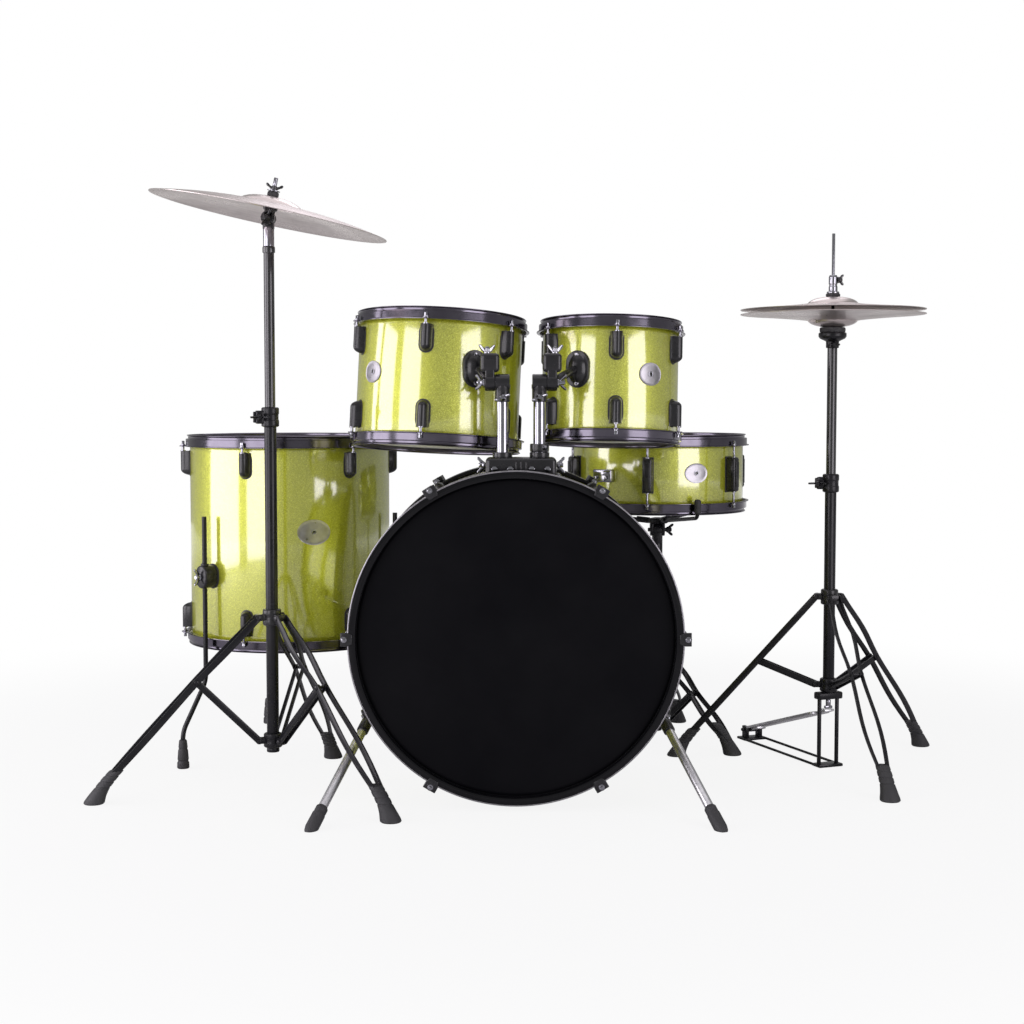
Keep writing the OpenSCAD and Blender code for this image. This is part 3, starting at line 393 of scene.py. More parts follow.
def wing_screw(place, span, reach=15, stem=4.0):
    """Wing screw along +Z: a stem, a waisted hub and two thin ears that flare outward."""
    hub = [(0, 0), (5.2, 0), (6.2, 1), (6.2, 3), (4.6, 5), (4.4, reach * 0.7), (3.4, reach * 0.8),
           (0, reach * 0.8)]
    parts = [turned(hub, 32), pin((0, 0, -9), (0, 0, 1), stem, 0.3, 24)]
    far, waist = span / 2, reach * 0.45
    ear = [(2, 1), (5.5, 1), (far - 5, waist), (far - 1.6, reach - 5), (far, reach - 1.6),
           (far - 1.4, reach + 0.6), (far - 4.5, reach), (far - 8, reach - 3.4), (2, waist + 1)]
    outline = [(p.x, p.y) for p in softened([(x, z, 0) for x, z in ear], 2, 3, True)]
    wing = prism(outline, -1.9, 1.9, 1.2, R(90, "X"))
    parts += spread(wing, [Matrix.Identity(4), R(180, "Z")])
    return [moved(part, place) for part in parts]


def rivet(place, radius=4.6, height=2.2):
    dome = [(0, 0), (radius, 0), (radius, 0.5), (radius * 0.86, height * 0.7),
            (radius * 0.5, height), (0, height)]
    return turned(dome, 24, place)


def end_place(end, depth):
    """Matrix for a drum's end, and the sign that azimuths take there."""
    return (Matrix.Identity(4), 1) if end == 0 else (T(0, 0, depth) @ R(180, "X"), -1)


def round_places(depth, turn):
    """Places of the six things that repeat round each end of a drum."""
    ends = [end_place(end, depth) for end in (0, 1)]
    return [base @ step for base, sign in ends for step in fan(6, sign * turn)]


# ---- Finishes ----
FINISHES = {}
GROUPS = {}


def feed(made, inputs):
    """Puts values or links on a node's inputs. A node stands for its first output in use."""
    for key, value in inputs.items():
        if isinstance(value, bpy.types.Node):
            value = next(socket for socket in value.outputs if socket.enabled)
        if isinstance(value, bpy.types.NodeSocket):
            made.id_data.links.new(value, made.inputs[key])
        else:
            made.inputs[key].default_value = value
    return made


def node(tree, kind, inputs=None, **settings):
    """Adds a node, with settings, and with values or links on its inputs."""
    made = tree.nodes.new("ShaderNode" + kind)
    for key, value in settings.items():
        setattr(made, key, value)
    return feed(made, inputs or {})


def ranged(tree, value, low, high, to_low=0.0, to_high=1.0, **settings):
    return node(tree, "MapRange", {"Value": value, "From Min": low, "From Max": high,
                                   "To Min": to_low, "To Max": to_high}, **settings)


def mixed(tree, share, first, second, **settings):
    inputs = {"Factor": share, "A": first, "B": second}
    return node(tree, "Mix", inputs, data_type="RGBA", **settings)


def maths(tree, operation, *values, kind="Math"):
    return node(tree, kind, dict(enumerate(values)), operation=operation)


def emptied(owner):
    """Turns on nodes for a material or world, and gives its cleared tree."""
    owner.use_nodes = True
    owner.node_tree.nodes.clear()
    return owner.node_tree


def new_group(name, inputs):
    """Shader node group with named inputs; gives its tree and what comes in."""
    tree = bpy.data.node_groups.new(name, "ShaderNodeTree")
    for kind, label, default in inputs:
        socket = tree.interface.new_socket(label, in_out="INPUT", socket_type="NodeSocket" + kind)
        if default is not None:
            socket.default_value = default
    return tree, tree.nodes.new("NodeGroupInput").outputs


def close_group(tree, outputs):
    """Names and links what a group puts out."""
    for kind, label, _ in outputs:
        tree.interface.new_socket(label, in_out="OUTPUT", socket_type="NodeSocket" + kind)
    feed(tree.nodes.new("NodeGroupOutput"), {label: value for _, label, value in outputs})
    return tree


def build_grain_group():
    """Soft two-tone drift of colour and gloss, with fine grain for bump."""
    tree, given = new_group(
        "Drift and grain",
        [("Vector", "Vector", None), ("Float", "Drift Scale", 12.0),
         ("Float", "Grain Scale", 900.0), ("Color", "Colour", (0.1, 0.1, 0.1, 1)),
         ("Color", "Other Colour", (0.2, 0.2, 0.2, 1)), ("Float", "Low Roughness", 0.3),
         ("Float", "High Roughness", 0.5)])
    drift = node(tree, "TexNoise", {"Vector": given["Vector"], "Scale": given["Drift Scale"],
                                    "Detail": 4.0, "Roughness": 0.6})
    grain = node(tree, "TexNoise", {"Vector": given["Vector"], "Scale": given["Grain Scale"],
                                    "Detail": 2.0})
    tone = mixed(tree, ranged(tree, drift, 0.3, 0.7), given["Colour"], given["Other Colour"])
    rough = ranged(tree, drift, 0.3, 0.7, given["Low Roughness"], given["High Roughness"])
    return close_group(tree, [("Color", "Colour", tone), ("Float", "Roughness", rough),
                              ("Float", "Height", grain)])


def build_fleck_group():
    """Flakes of foil in a film: each cell has its own tone and its own tilt."""
    tree, given = new_group(
        "Foil flecks",
        [("Vector", "Vector", None), ("Float", "Scale", 900.0), ("Float", "Tilt", 0.3),
         ("Color", "Colour", (0.5, 0.5, 0.1, 1)), ("Color", "Bright Colour", (0.9, 0.9, 0.4, 1)),
         ("Color", "Deep Colour", (0.2, 0.25, 0.02, 1))])
    cells = node(tree, "TexVoronoi", {"Vector": given["Vector"], "Scale": given["Scale"]})
    cell = cells.outputs["Color"]
    dice = node(tree, "SeparateColor", {"Color": cell}).outputs
    deep = mixed(tree, ranged(tree, dice["Green"], 0.6, 1.0), given["Colour"], given["Deep Colour"])
    bright = mixed(tree, ranged(tree, dice["Red"], 0.72, 1.0), deep, given["Bright Colour"])
    centred = maths(tree, "SUBTRACT", cell, (0.5, 0.5, 0.5), kind="VectorMath")
    tilt = node(tree, "VectorMath", {0: centred, "Scale": given["Tilt"]}, operation="SCALE")
    facing = node(tree, "NewGeometry").outputs["Normal"]
    tilted = maths(tree, "ADD", facing, tilt, kind="VectorMath")
    unit = maths(tree, "NORMALIZE", tilted, kind="VectorMath")
    return close_group(tree, [("Color", "Colour", bright), ("Vector", "Normal", unit)])


def build_lathe_group():
    """Fine rings round Z: height of the cut, and a broad band mask."""
    tree, given = new_group(
        "Lathe rings",
        [("Vector", "Vector", None), ("Float", "Rings", 900.0), ("Float", "Bands", 60.0)])
    parts = node(tree, "SeparateXYZ", {"Vector": given["Vector"]}).outputs
    flat = node(tree, "CombineXYZ", {"X": parts["X"], "Y": parts["Y"]})
    radius = maths(tree, "LENGTH", flat, kind="VectorMath")
    cut, band = [node(tree, "TexNoise", {"W": radius, "Scale": given[scale], "Detail": detail},
                      noise_dimensions="1D") for scale, detail in (("Rings", 3.0), ("Bands", 2.0))]
    return close_group(tree, [("Float", "Height", cut), ("Float", "Band", band)])


def new_finish(name):
    """Empty material; gives its tree, its shader and its Object coordinates."""
    FINISHES[name] = bpy.data.materials.new(name)
    tree = emptied(FINISHES[name])
    shader = node(tree, "BsdfPrincipled")
    node(tree, "OutputMaterial", {"Surface": shader})
    return tree, shader, node(tree, "TexCoord").outputs["Object"]


def group_node(tree, group, **inputs):
    made = node(tree, "Group", node_tree=GROUPS[group])
    return feed(made, {key.replace("_", " "): value for key, value in inputs.items()}).outputs


def toned(tree, place, colour, other, rough, drift, grain):
    """Drifting tone and gloss with a fine grain."""
    return group_node(tree, "grain", Vector=place, Drift_Scale=drift, Grain_Scale=grain,
                      Colour=(*colour, 1), Other_Colour=(*other, 1),
                      Low_Roughness=rough[0], High_Roughness=rough[1])


def relief(tree, height, strength, distance):
    return node(tree, "Bump", {"Height": height, "Strength": strength, "Distance": distance})


def grained(name, colour, other, rough, drift, grain, bump, depth, values):
    """Finish with drifting tone and gloss and a fine grain."""
    tree, shader, place = new_finish(name)
    tone = toned(tree, place, colour, other, rough, drift, grain)
    feed(shader, {"Base Color": tone["Colour"], "Roughness": tone["Roughness"],
                  "Normal": relief(tree, tone["Height"], bump, depth), **values})


def bronze(name, colour, centre, lean):
    """Lathed bronze, its rings centred on one cymbal."""
    tree, shader, place = new_finish(name)
    centred = node(tree, "Mapping", {"Vector": place, "Location": centre,
                                     "Rotation": (0, math.radians(lean), 0)}, vector_type="TEXTURE")
    rings = group_node(tree, "lathe", Vector=centred)
    tone = toned(tree, place, colour, [c * 0.72 for c in colour], (0.24, 0.36), 9.0, 500.0)
    shade = ranged(tree, rings["Band"], 0.0, 1.0, 0.78, 1.12)
    banded = mixed(tree, 1.0, tone["Colour"], shade, blend_type="MULTIPLY")
    feed(shader, {"Base Color": banded, "Roughness": tone["Roughness"], "Metallic": 1.0,
                  "Normal": relief(tree, rings["Height"], 0.35, 0.0003)})


def sparkle_wrap(colour, scale):
    """Foil flecks under a thick clear coat."""
    tree, shader, place = new_finish("Sparkle wrap")
    foil = group_node(tree, "fleck", Vector=place, Scale=scale, Tilt=0.24, Colour=(*colour, 1),
                      Bright_Colour=(*[min(1, c * 1.6 + 0.08) for c in colour], 1),
                      Deep_Colour=(*[c * 0.55 for c in colour], 1))
    feed(shader, {"Base Color": foil["Colour"], "Normal": foil["Normal"], "Metallic": 0.5,
                  "Roughness": 0.38, "Coat Weight": 1.0, "Coat Roughness": 0.1, "Coat IOR": 2.3})


METAL = {"Metallic": 1.0}
# Name: colour, other colour, roughness range, drift scale, grain scale, bump, and shader values.
GRAINED = {
    "Black nickel": ((0.11, 0.1, 0.125), (0.15, 0.14, 0.17), (0.12, 0.2), 25, 700, 0.04, METAL),
    "Gloss black": (None, (0.018, 0.018, 0.02), (0.16, 0.26), 25, 700, 0.05,
                    {"Coat Weight": 0.5, "Coat Roughness": 0.08}),
    "Cast black": (None, (0.018, 0.018, 0.02), (0.2, 0.32), 40, 1600, 0.12,
                   {"Coat Weight": 0.2, "Coat Roughness": 0.1, "Specular IOR Level": 0.35}),
    "Stand black": ((0.006, 0.006, 0.008), (0.012, 0.012, 0.014), (0.22, 0.34), 18, 1200, 0.05,
                    {"Specular IOR Level": 0.3}),
    "Lacquered hoop": ((0.003, 0.003, 0.004), (0.006, 0.006, 0.007), (0.2, 0.3), 14, 260, 0.12,
                       {"Coat Weight": 0.45, "Coat Roughness": 0.05, "Specular IOR Level": 0.02}),
    "Chrome": ((0.38, 0.38, 0.41), (0.3, 0.3, 0.33), (0.06, 0.14), 30, 900, 0.02, METAL),
    "Pewter plate": ((0.3, 0.29, 0.31), (0.42, 0.41, 0.43), (0.26, 0.4), 90, 1600, 0.12, METAL),
    "Brushed plate": ((0.7, 0.7, 0.71), (0.55, 0.55, 0.57), (0.28, 0.4), 60, 1400, 0.1, METAL),
    "Black film": ((0.002, 0.002, 0.003), (0.004, 0.004, 0.005), (0.34, 0.42), 6, 1500, 0.06,
                   {"Specular IOR Level": 0.08}),
    "Coated film": ((0.86, 0.86, 0.84), (0.78, 0.78, 0.76), (0.55, 0.7), 7, 1100, 0.35, {}),
    "Rubber": ((0.02, 0.02, 0.022), (0.04, 0.04, 0.042), (0.55, 0.75), 30, 1300, 0.25, {}),
    "Felt": ((0.03, 0.03, 0.032), (0.07, 0.07, 0.072), (0.85, 0.95), 60, 2400, 0.9, {}),
    "Pale felt": ((0.62, 0.6, 0.56), (0.5, 0.48, 0.45), (0.85, 0.95), 60, 2400, 0.9, {}),
}
GRAIN_DEPTH = {"Lacquered hoop": 0.0004, "Felt": 0.0008, "Pale felt": 0.0008}


def make_finishes(look):
    GROUPS.update(grain=build_grain_group(), fleck=build_fleck_group(), lathe=build_lathe_group())
    sparkle_wrap(tuple(look.wrap_colour), look.fleck_scale)
    for name, (colour, *tone, values) in GRAINED.items():
        grained(name, colour or look.black, *tone, GRAIN_DEPTH.get(name, 0.0002), values)
    bronze("Crash bronze", look.bronze_colour, CRASH_HOLE / TO_MM, CRASH_LEAN)
    bronze("Hi-hat bronze", look.bronze_colour, Vector((HAT_X, HAT_Y, HAT_EDGE_Z)) / TO_MM, 0)


# ---- Places and sizes that the pieces share, in millimetres ----
FILM = 0.5
EAR_Z, EAR_T = 11, 2
BASS_R = half_width("bass_drum_tube") * TO_MM
BASS_MIDDLE = node_middle("bass_drum_tube")
BASS_DEPTH = half_width("bass_drum_tube", 1) * 2 * TO_MM
AT_BASS = T(BASS_MIDDLE.x, BASS_MIDDLE.y - BASS_DEPTH / 2, BASS_MIDDLE.z) @ R(-90, "X")
WOOD_OVER, WOOD_BACK, WOOD_OUT = 18, 20, 15.6
CLAW_ROD = 21
FLOOR_MIDDLE = node_middle("floor_tom_drum_tube")
SNARE_MIDDLE = node_middle("snare_drum_tube")
POST_X = [joint_at("low_tom_tilt").x, joint_at("high_tom_tilt").x]
POST_Y, TILT_Z = joint_at("low_tom_tilt").y, joint_at("low_tom_tilt").z
MOUNT_TOP = BASS_MIDDLE.z + BASS_R + 36
CRASH_PIVOT = joint_at("crash_tilt")
CRASH_HOLE = joint_at("crash_rock")
HANG = (CRASH_HOLE - CRASH_PIVOT).length
CRASH_LEAN = math.degrees(math.atan2(CRASH_HOLE.x - CRASH_PIVOT.x, CRASH_HOLE.z - CRASH_PIVOT.z))
AT_CRASH = T(CRASH_PIVOT.x, CRASH_PIVOT.y, 0)
AT_CYMBAL = T(*CRASH_PIVOT) @ R(CRASH_LEAN, "Y")
HAT_X, HAT_Y = node_middle("hihat_bottom_cymbal").xy
HAT_EDGE_Z = node_box("hihat_bottom_cymbal")[1].z - 0.6
AT_HAT = T(HAT_X, HAT_Y, 0)
ROD_OUT, WALL = 13.5, 6.5
LUG_W, LUG_L, LUG_Z, BASS_LUG_Z = 25, 50, 22, 60
PIVOT_R = 26
STRIP_W, STRIP_T = 12, 3
SIDES = (-1, 1)
SPUR_HUB = 22
UPPER_R = 9.54
HEEL_X, HEEL_Z, HEEL_TURN = 296, 22, 112
FLOOR_LEG_TURN, CRASH_LEG_TURN, HAT_LEG_TURN, SNARE_LEG_TURN = -90 - 42, 196, 161, 312
STRIP_IN = 5.5
STRIP_OUT = STRIP_IN + STRIP_T + 0.5
TUBE_R = 11.1

DRUMS = {
    "low_tom": dict(body="low_tom", radius=152.4, depth=229, turn=-90 + 52.4, back=4.4, side=2.7,
                    badge=(-140, 122, 46, 40)),
    "high_tom": dict(body="high_tom", radius=127.0, depth=210, turn=-90 + 1.6, back=4.3, side=1.0,
                     badge=(-58, 114, 48, 42)),
    "floor_tom": dict(body="kit", radius=203.2, depth=403, turn=-90 + 42, back=0, side=0,
                      badge=(-70, 226, 66, 50)),
    "snare": dict(body="snare", radius=177.8, depth=140, turn=-90 - 11, back=0, side=0,
                  badge=(-69, 74, 50, 40)),
}
for drum_name, drum in DRUMS.items():
    middle = node_middle(drum_name + "_drum_tube")
    drum["place"] = (T(*middle) @ R(drum["side"], "Y") @ R(-drum["back"], "X")
                     @ T(0, 0, -drum["depth"] / 2))


def shell(radius, depth, wall, steps=160):
    """Shell with bevelled bearing edges, wrapped outside."""
    mid = radius - wall / 2
    edge = [(radius - wall, 4), (mid - 0.6, 0), (mid + 0.6, 0), (radius - 0.4, 3.4), (radius, 4.4)]
    profile = edge + [(radius, depth / 2)] + [(x, depth - z) for x, z in reversed(edge)]
    return turned(profile + profile[:1], steps)


def head(radius):
    """Film with a collar bent over the bearing edge into its flesh hoop."""
    film = [(-16, -FILM), (-6, -FILM - 0.1), (-2.4, -FILM), (-0.4, 0.2), (0.9, 1.4), (1.6, 1.2),
            (2.2, 0), (5, -FILM), (5.5, 0.2), (5.5, 7.4), (5, 8), (1.4, 8), (1, 7.4), (1, 3),
            (-0.8, 1.2), (-3, 0)]
    rim = [(radius + x, z) for x, z in film]
    return turned([(0, -FILM), (radius * 0.5, -FILM)] + rim + [(0, 0)], 128)


def metal_hoop(radius):
    """Triple-flanged hoop."""
    sheet = [(1.5, -FILM), (1.5, -8.6), (3.2, -10.8), (5.6, -10.4), (6, -9.2), (3.5, -7.6),
             (3.5, -2.5), (8.3, -2.5), (8.3, 11), (12.5, 11), (12.5, 13), (6.3, 13), (6.3, -FILM)]
    return ring([(radius + x, z) for x, z in sheet], 1.1, 160)


def hoop_ears(radius, turn):
    ear = prism(stadium(15, 17), EAR_Z, EAR_Z + EAR_T, 0.6, R(90, "Z"))
    moved(ear, T(radius + 12.2, 0, 0))
    return spread(ear, fan(6, turn))


def bullet_lug(width, length, out):
    """Cast lug: round end up, square end down, its back flat on the shell."""
    radius = width / 2
    bare()
    bpy.ops.mesh.primitive_uv_sphere_add(segments=32, ring_count=16, radius=radius)
    edit()
    choose(lambda vert: vert.co.z < -0.01)
    bpy.ops.mesh.delete(type="VERT")
    choose(lambda vert: abs(vert.co.z) < 0.01)
    bpy.ops.mesh.extrude_region_move(TRANSFORM_OT_translate={"value": (0, 0, radius - length)})
    bpy.ops.mesh.edge_face_add()
    choose_all()
    bpy.ops.mesh.bisect(plane_co=(0, 0, 0), plane_no=(1, 0, 0), use_fill=True, clear_inner=True)
    choose_all()
    bpy.ops.transform.resize(value=(out / radius, 1, 1))
    round_edges(2.4, lambda edge: all(v.co.z < radius - length + 0.01 and v.co.x > 0.01
                                      for v in edge.verts), 3)
    lug = placed()
    return moved(lug, T(0, 0, length - radius))


def shell_lug(radius, start, out, rod_out, cap_radius):
    """Bullet lug on a shell, the rubber seat under it, and the cap that its rod enters."""
    seat = prism(stadium(LUG_W + 3, LUG_L + 3), -1, 0.9, 0.4, seat_place(radius, start + LUG_L / 2))
    painted(seat, "Rubber")
    lug = moved(bullet_lug(LUG_W, LUG_L, out), T(radius, 0, start))
    return lug, seat, disc(start - 1.6, start + 1, cap_radius, 0.5, 24, T(radius + rod_out, 0, 0))


def seat_place(radius, height=0):
    """Where a plate drawn flat stands upright on a shell."""
    return T(radius, 0, height) @ R(90, "Y") @ R(90, "Z")


def wrap_on(part, radius):
    """Bends a flat plate, drawn in Y and Z, round a shell."""
    for vert in part.data.vertices:
        x, y, z = vert.co
        angle = y / radius
        vert.co = ((radius + x) * math.cos(angle), (radius + x) * math.sin(angle), z)
    return part


def badge(radius, width, height):
    """Blank oval plate with a raised rim and an eyelet."""
    bare()
    bpy.ops.mesh.primitive_circle_add(vertices=48, radius=1, fill_type="NGON",
                                      rotation=(0, math.pi / 2, 0))
    placed()
    edit("FACE")
    choose_all()
    bpy.ops.transform.resize(value=(1, width / 2, height / 2))
    bpy.ops.mesh.extrude_region_move(TRANSFORM_OT_translate={"value": (1.4, 0, 0)})
    bpy.ops.mesh.inset(thickness=1.4)
    bpy.ops.transform.translate(value=(-0.5, 0, 0))
    for _ in range(4):
        bpy.ops.mesh.inset(thickness=min(width, height) * 0.09)
    choose_all()
    bpy.ops.mesh.normals_make_consistent(inside=False)
    plate = wrap_on(placed(), radius)
    on_shell = T(radius, 0, 0) @ R(90, "Y")
    eyelet = tube(0, 2.2, 5.2, 3.2, 0.6, 32, on_shell)
    # The last disc fills the eyelet and is painted black: painted shade for the dark opening of the
    # vent hole, since the shell is not cut through.
    return plate, eyelet, disc(0.8, 1.4, 3.3, 0.1, 24, on_shell)


# ---- Drums ----
def make_drum(name):
    """Wrapped shell with a blank badge, two heads and two hoops. Gives its body and measures."""
    body, radius, depth, turn, place = [
        DRUMS[name][key] for key in ("body", "radius", "depth", "turn", "place")]
    piece(name + "_shell", [shell(radius, depth, WALL)], "Sparkle wrap", body, "wrap",
          name + "_drum_tube", place=place)
    azimuth, height, width, tall = DRUMS[name]["badge"]
    plate, eyelet, hole = badge(radius, width, tall)
    painted(plate, "Pewter plate")
    # Black disc in the eyelet: painted shade for the vent hole's dark opening.
    painted(hole, "Gloss black")
    piece(name + "_badges", [plate, eyelet, hole], "Chrome", body, "steel",
          place=place @ R(azimuth, "Z") @ T(0, 0, height))
    ends = [(label, *end_place(end, depth)) for end, label in enumerate(("lower", "upper"))]
    for label, base, _ in ends:
        piece(f"{name}_{label}_head", [head(radius)], "Coated film", body, "head_white",
              name + "_heads", place=place @ base)
    for label, base, sign in ends:
        parts = [metal_hoop(radius)] + hoop_ears(radius, sign * turn)
        piece(f"{name}_{label}_hoop", parts, "Black nickel", body, "hoop_black", name + "_hoops",
              place=place @ base)
    return body, radius, depth, turn, place


def make_tom(name):
    """Drum with six bullet lugs and rods at each end. Gives its radius."""
    body, radius, depth, turn, place = make_drum(name)
    places = [place @ m for m in round_places(depth, turn)]
    lug, seat, cap = shell_lug(radius, LUG_Z, 24.5, ROD_OUT, 5.2)
    piece(name + "_lug_castings", copies((lug, seat), places), "Cast black", body, "lug_black",
          name + "_lugs")
    rods = key_rod(EAR_Z, LUG_Z + 2, radius + ROD_OUT) + [cap]
    piece(name + "_tension_rods", copies(rods, places), "Chrome", body, "steel", name + "_lugs")
    return radius


def leg_bracket(radius, rod_at):
    """Cast socket for a floor tom leg, its rubber seat and its wing screw."""
    height = 46
    boss = prism(stadium(34, height), -2, rod_at - radius + 11, 4, seat_place(radius), 3)
    seat = prism(stadium(38, height + 4), -1, 1.4, 0.5, seat_place(radius))
    painted(seat, "Rubber")
    collar = tube(height / 2 - 1, height / 2 + 3, 8, 4.8, 0.6, 32, T(rod_at, 0, 0))
    screw = wing_screw(T(rod_at + 11, 0, 0) @ R(90, "Y"), 34)
    return [boss, collar, seat], screw


def make_floor_tom():
    radius = make_tom("floor_tom")
    rod_at = radius + 20
    foot_x, socket_z = rod_at + 58, 373
    cast, screw = leg_bracket(radius, rod_at)
    centre = T(FLOOR_MIDDLE.x, FLOOR_MIDDLE.y, 0)
    stands = [centre @ turn for turn in fan(3, FLOOR_LEG_TURN)]
    sockets = [place @ T(0, 0, socket_z) for place in stands]
    piece("floor_tom_leg_sockets", copies(cast, sockets), "Cast black", "kit", "lug_black")
    piece("floor_tom_leg_screws", copies(screw, sockets), "Chrome", "kit", "steel")
    path = [(rod_at, 0, 492), (rod_at, 0, 166), (foot_x, 0, 72), (foot_x, 0, 14)]
    groove = [(4.7, 0), (5.0, 0.8), (5.0, 2.2), (4.7, 3)]
    rods = [wire(path, 4.75, 16, 5)]
    rods += [turned(lifted(groove, z), 24, T(rod_at, 0, 0)) for z in range(300, 470, 9)]
    foot = ring([(0.1, 0), (10.8, 0), (12, 2), (11.6, 12), (10, 14), (10, 16), (11, 18), (9.6, 36),
                 (8.4, 38), (8.4, 40), (9, 42), (7.6, 55), (5.6, 57), (4.7, 54), (0.1, 50)],
                0.8, 40, T(foot_x, 0, 0))
    piece("floor_tom_leg_rods", copies(rods, stands), "Stand black", "floor_legs", "steel",
          "floor_tom_legs")
    piece("floor_tom_feet", spread(foot, stands), "Rubber", "floor_legs", "stand_black",
          "floor_tom_legs")


def make_snare():
    name, radius, depth, turn, place = make_drum("snare")
    length, start = 70, 35
    middle = depth / 2
    seat = block((1.6, 23, length + 3), (radius + 0.6, 0, middle), 0.6)
    painted(seat, "Rubber")
    castings = [block((22, 20, length), (radius + 10.6, 0, middle), 5, 4),
                block((3, 11, length - 18), (radius + 22, 0, middle), 1.4, 3), seat]
    piece("snare_lug_castings", copies(castings, [place @ step for step in fan(6, turn)]),
          "Cast black", name, "lug_black", "snare_lugs")
    rods = key_rod(EAR_Z, start + 2, radius + ROD_OUT)
    rods.append(disc(start - 1.6, start + 1, 5, 0.5, 24, T(radius + ROD_OUT, 0, 0)))
    piece("snare_tension_rods", copies(rods, [place @ m for m in round_places(depth, turn)]),
          "Chrome", name, "steel", "snare_lugs")
    make_strainer(place @ R(turn + 150, "Z"), radius)


def make_strainer(place, radius):
    """Throw-off, butt end and the wires under the lower head."""
    hinge_x, hinge_z, clip_x = radius + 29, 48, -radius - 13
    body = [block((22, 30, 64), (radius + 11, 0, 70), 3, 3)]
    body += [block((14, 5.4, 14), (radius + 28, side * 12, hinge_z), 1.6) for side in SIDES]
    body.append(pin((hinge_x, -15, hinge_z), (hinge_x, 15, hinge_z), 2.6))
    body.append(disc(0, 7, 8, 1.2, 28, T(radius + 11, 0, 101)))
    body += [rivet(T(radius + 22, y, 90) @ R(90, "Y"), 3.4, 1.8) for y in (-9, 9)]
    body.append(block((14, 46, 26), (-radius - 7, 0, 68), 3, 3))
    body.append(block((2.4, 40, 9), (-radius - 14.6, 0, 73), 0.8))
    body += [pin((clip_x, y, 64), (clip_x - 4.4, y, 64), 3.2) for y in (-13, 13)]
    piece("snare_strainer_body", body, "Chrome", "snare", "steel", "snare_strainer", place=place)
    run = radius - 20
    wires = [wire([(-run, y, -1.5), (run, y, -1.5)], 0.9, 0, 2)
             for y in [-27 + 3.6 * k for k in range(16)]]
    wires += [block((9, 62, 1.4), (side * run, 0, -1.6), 0.5) for side in SIDES]
    piece("snare_wires", wires, "Brushed plate", "snare", "steel", "snare_strainer", place=place)
    arm = [pin((0, -8, 0), (0, 8, 0), 5, 0.8), block((4.6, 15, 58), (1.6, 0, 31), 1.6, 3),
           pin((1.5, -8.2, 60), (1.5, 8.2, 60), 4, 1.2)]
    piece("strainer_handle", arm, "Gloss black", "strainer_lever", "steel", "strainer_lever",
          place=place @ T(hinge_x, 0, hinge_z))


# ---- Bass drum ----
def make_bass_drum(sizes):
    radius = sizes.bass_radius * TO_MM
    piece("bass_shell", [shell(radius, BASS_DEPTH, 8, 192)], "Sparkle wrap", "kit", "wrap",
          "bass_drum_tube", place=AT_BASS)
    section = [(1.5, -WOOD_OVER), (WOOD_OUT, -WOOD_OVER), (WOOD_OUT, WOOD_BACK), (5.8, WOOD_BACK),
               (5.8, -FILM), (1.5, -FILM)]
    # The band is a thin ring of lighter metal on each hoop's outer front corner: a painted
    # highlight that stands for the lamps' reflection on the hoop's rounded edge.
    band = lifted([(WOOD_OUT - 2.4, 0), (WOOD_OUT - 0.6, -0.25), (WOOD_OUT + 0.25, 0.6),
                   (WOOD_OUT + 0.25, 2.4), (WOOD_OUT - 2.4, 2.4)], -WOOD_OVER)
    for end, label, finish, slot in ((0, "front", "Black film", "head_black"),
                                     (1, "batter", "Coated film", "head_white")):
        place = AT_BASS @ end_place(end, BASS_DEPTH)[0]
        piece(f"bass_{label}_film", [head(radius)], finish, "kit", slot, f"bass_{label}_head",
              place=place)
        hoop = ring([(radius + x, z) for x, z in section], 2.2, 192)
        # Painted highlight: a lighter metal ring in place of the reflection along the hoop's edge.
        painted_highlight_ring = ring([(radius + x, z) for x, z in band], 0.5, 192)
        painted(painted_highlight_ring, "Pewter plate")
        piece(f"bass_{label}_hoop", [hoop, painted_highlight_ring], "Lacquered hoop", "kit", "hoop_wood",
              "bass_hoops", place=place)
    make_claws(radius)


def make_claws(radius):
    claw = claw_casting(radius)
    lug, seat, cap = shell_lug(radius, BASS_LUG_Z, 29, CLAW_ROD, 5.4)
    places = [AT_BASS @ m for m in round_places(BASS_DEPTH, 0)]
    piece("bass_claw_castings", copies((claw, lug, seat), places), "Cast black", "kit",
          "lug_black", "bass_lugs")
    rods = key_rod(-WOOD_OVER - 3, BASS_LUG_Z + 2, radius + CLAW_ROD) + [cap]
    piece("bass_tension_rods", copies(rods, places), "Chrome", "kit", "steel", "bass_lugs")


def claw_casting(radius):
    """Claw that hooks over a wooden hoop: a leg, its hook over the front and a boss for the rod."""
    inner, outer = radius + WOOD_OUT + 0.3, radius + CLAW_ROD + 6

    def inward(face, beyond, axis):
        return face.normal.x < -0.9 and face.calc_center_median()[axis] < beyond

    bare()
    bpy.ops.mesh.primitive_cube_add(size=1, location=((inner + outer) / 2, 0, -12),
                                    scale=(outer - inner, 24, 18))
    placed()
    edit("FACE")
    choose_all()
    bpy.ops.mesh.bisect(plane_co=(0, 0, -WOOD_OVER), plane_no=(0, 0, 1))
    choose(lambda face: inward(face, -WOOD_OVER, 2), "FACE")
    bpy.ops.mesh.extrude_region_move(TRANSFORM_OT_translate={"value": (-9.3, 0, 0)})
    choose(lambda face: inward(face, inner - 5, 0), "FACE")
    bpy.ops.transform.resize(value=(1, 0.7, 1), center_override=(inner, 0, -WOOD_OVER))
    choose(lambda face: face.normal.z > 0.9 and face.calc_center_median().z > -6, "FACE")
    bpy.ops.transform.resize(value=(1, 0.62, 1))
    round_edges(1.1, lambda edge: edge.calc_face_angle(0) > 0.4, 3)
    casting = placed()
    boss = tube(-WOOD_OVER - 3.4, -WOOD_OVER + 16, 6.4, 3, 0.8, 32, T(radius + CLAW_ROD, 0, 0))
    return joined([casting, boss])


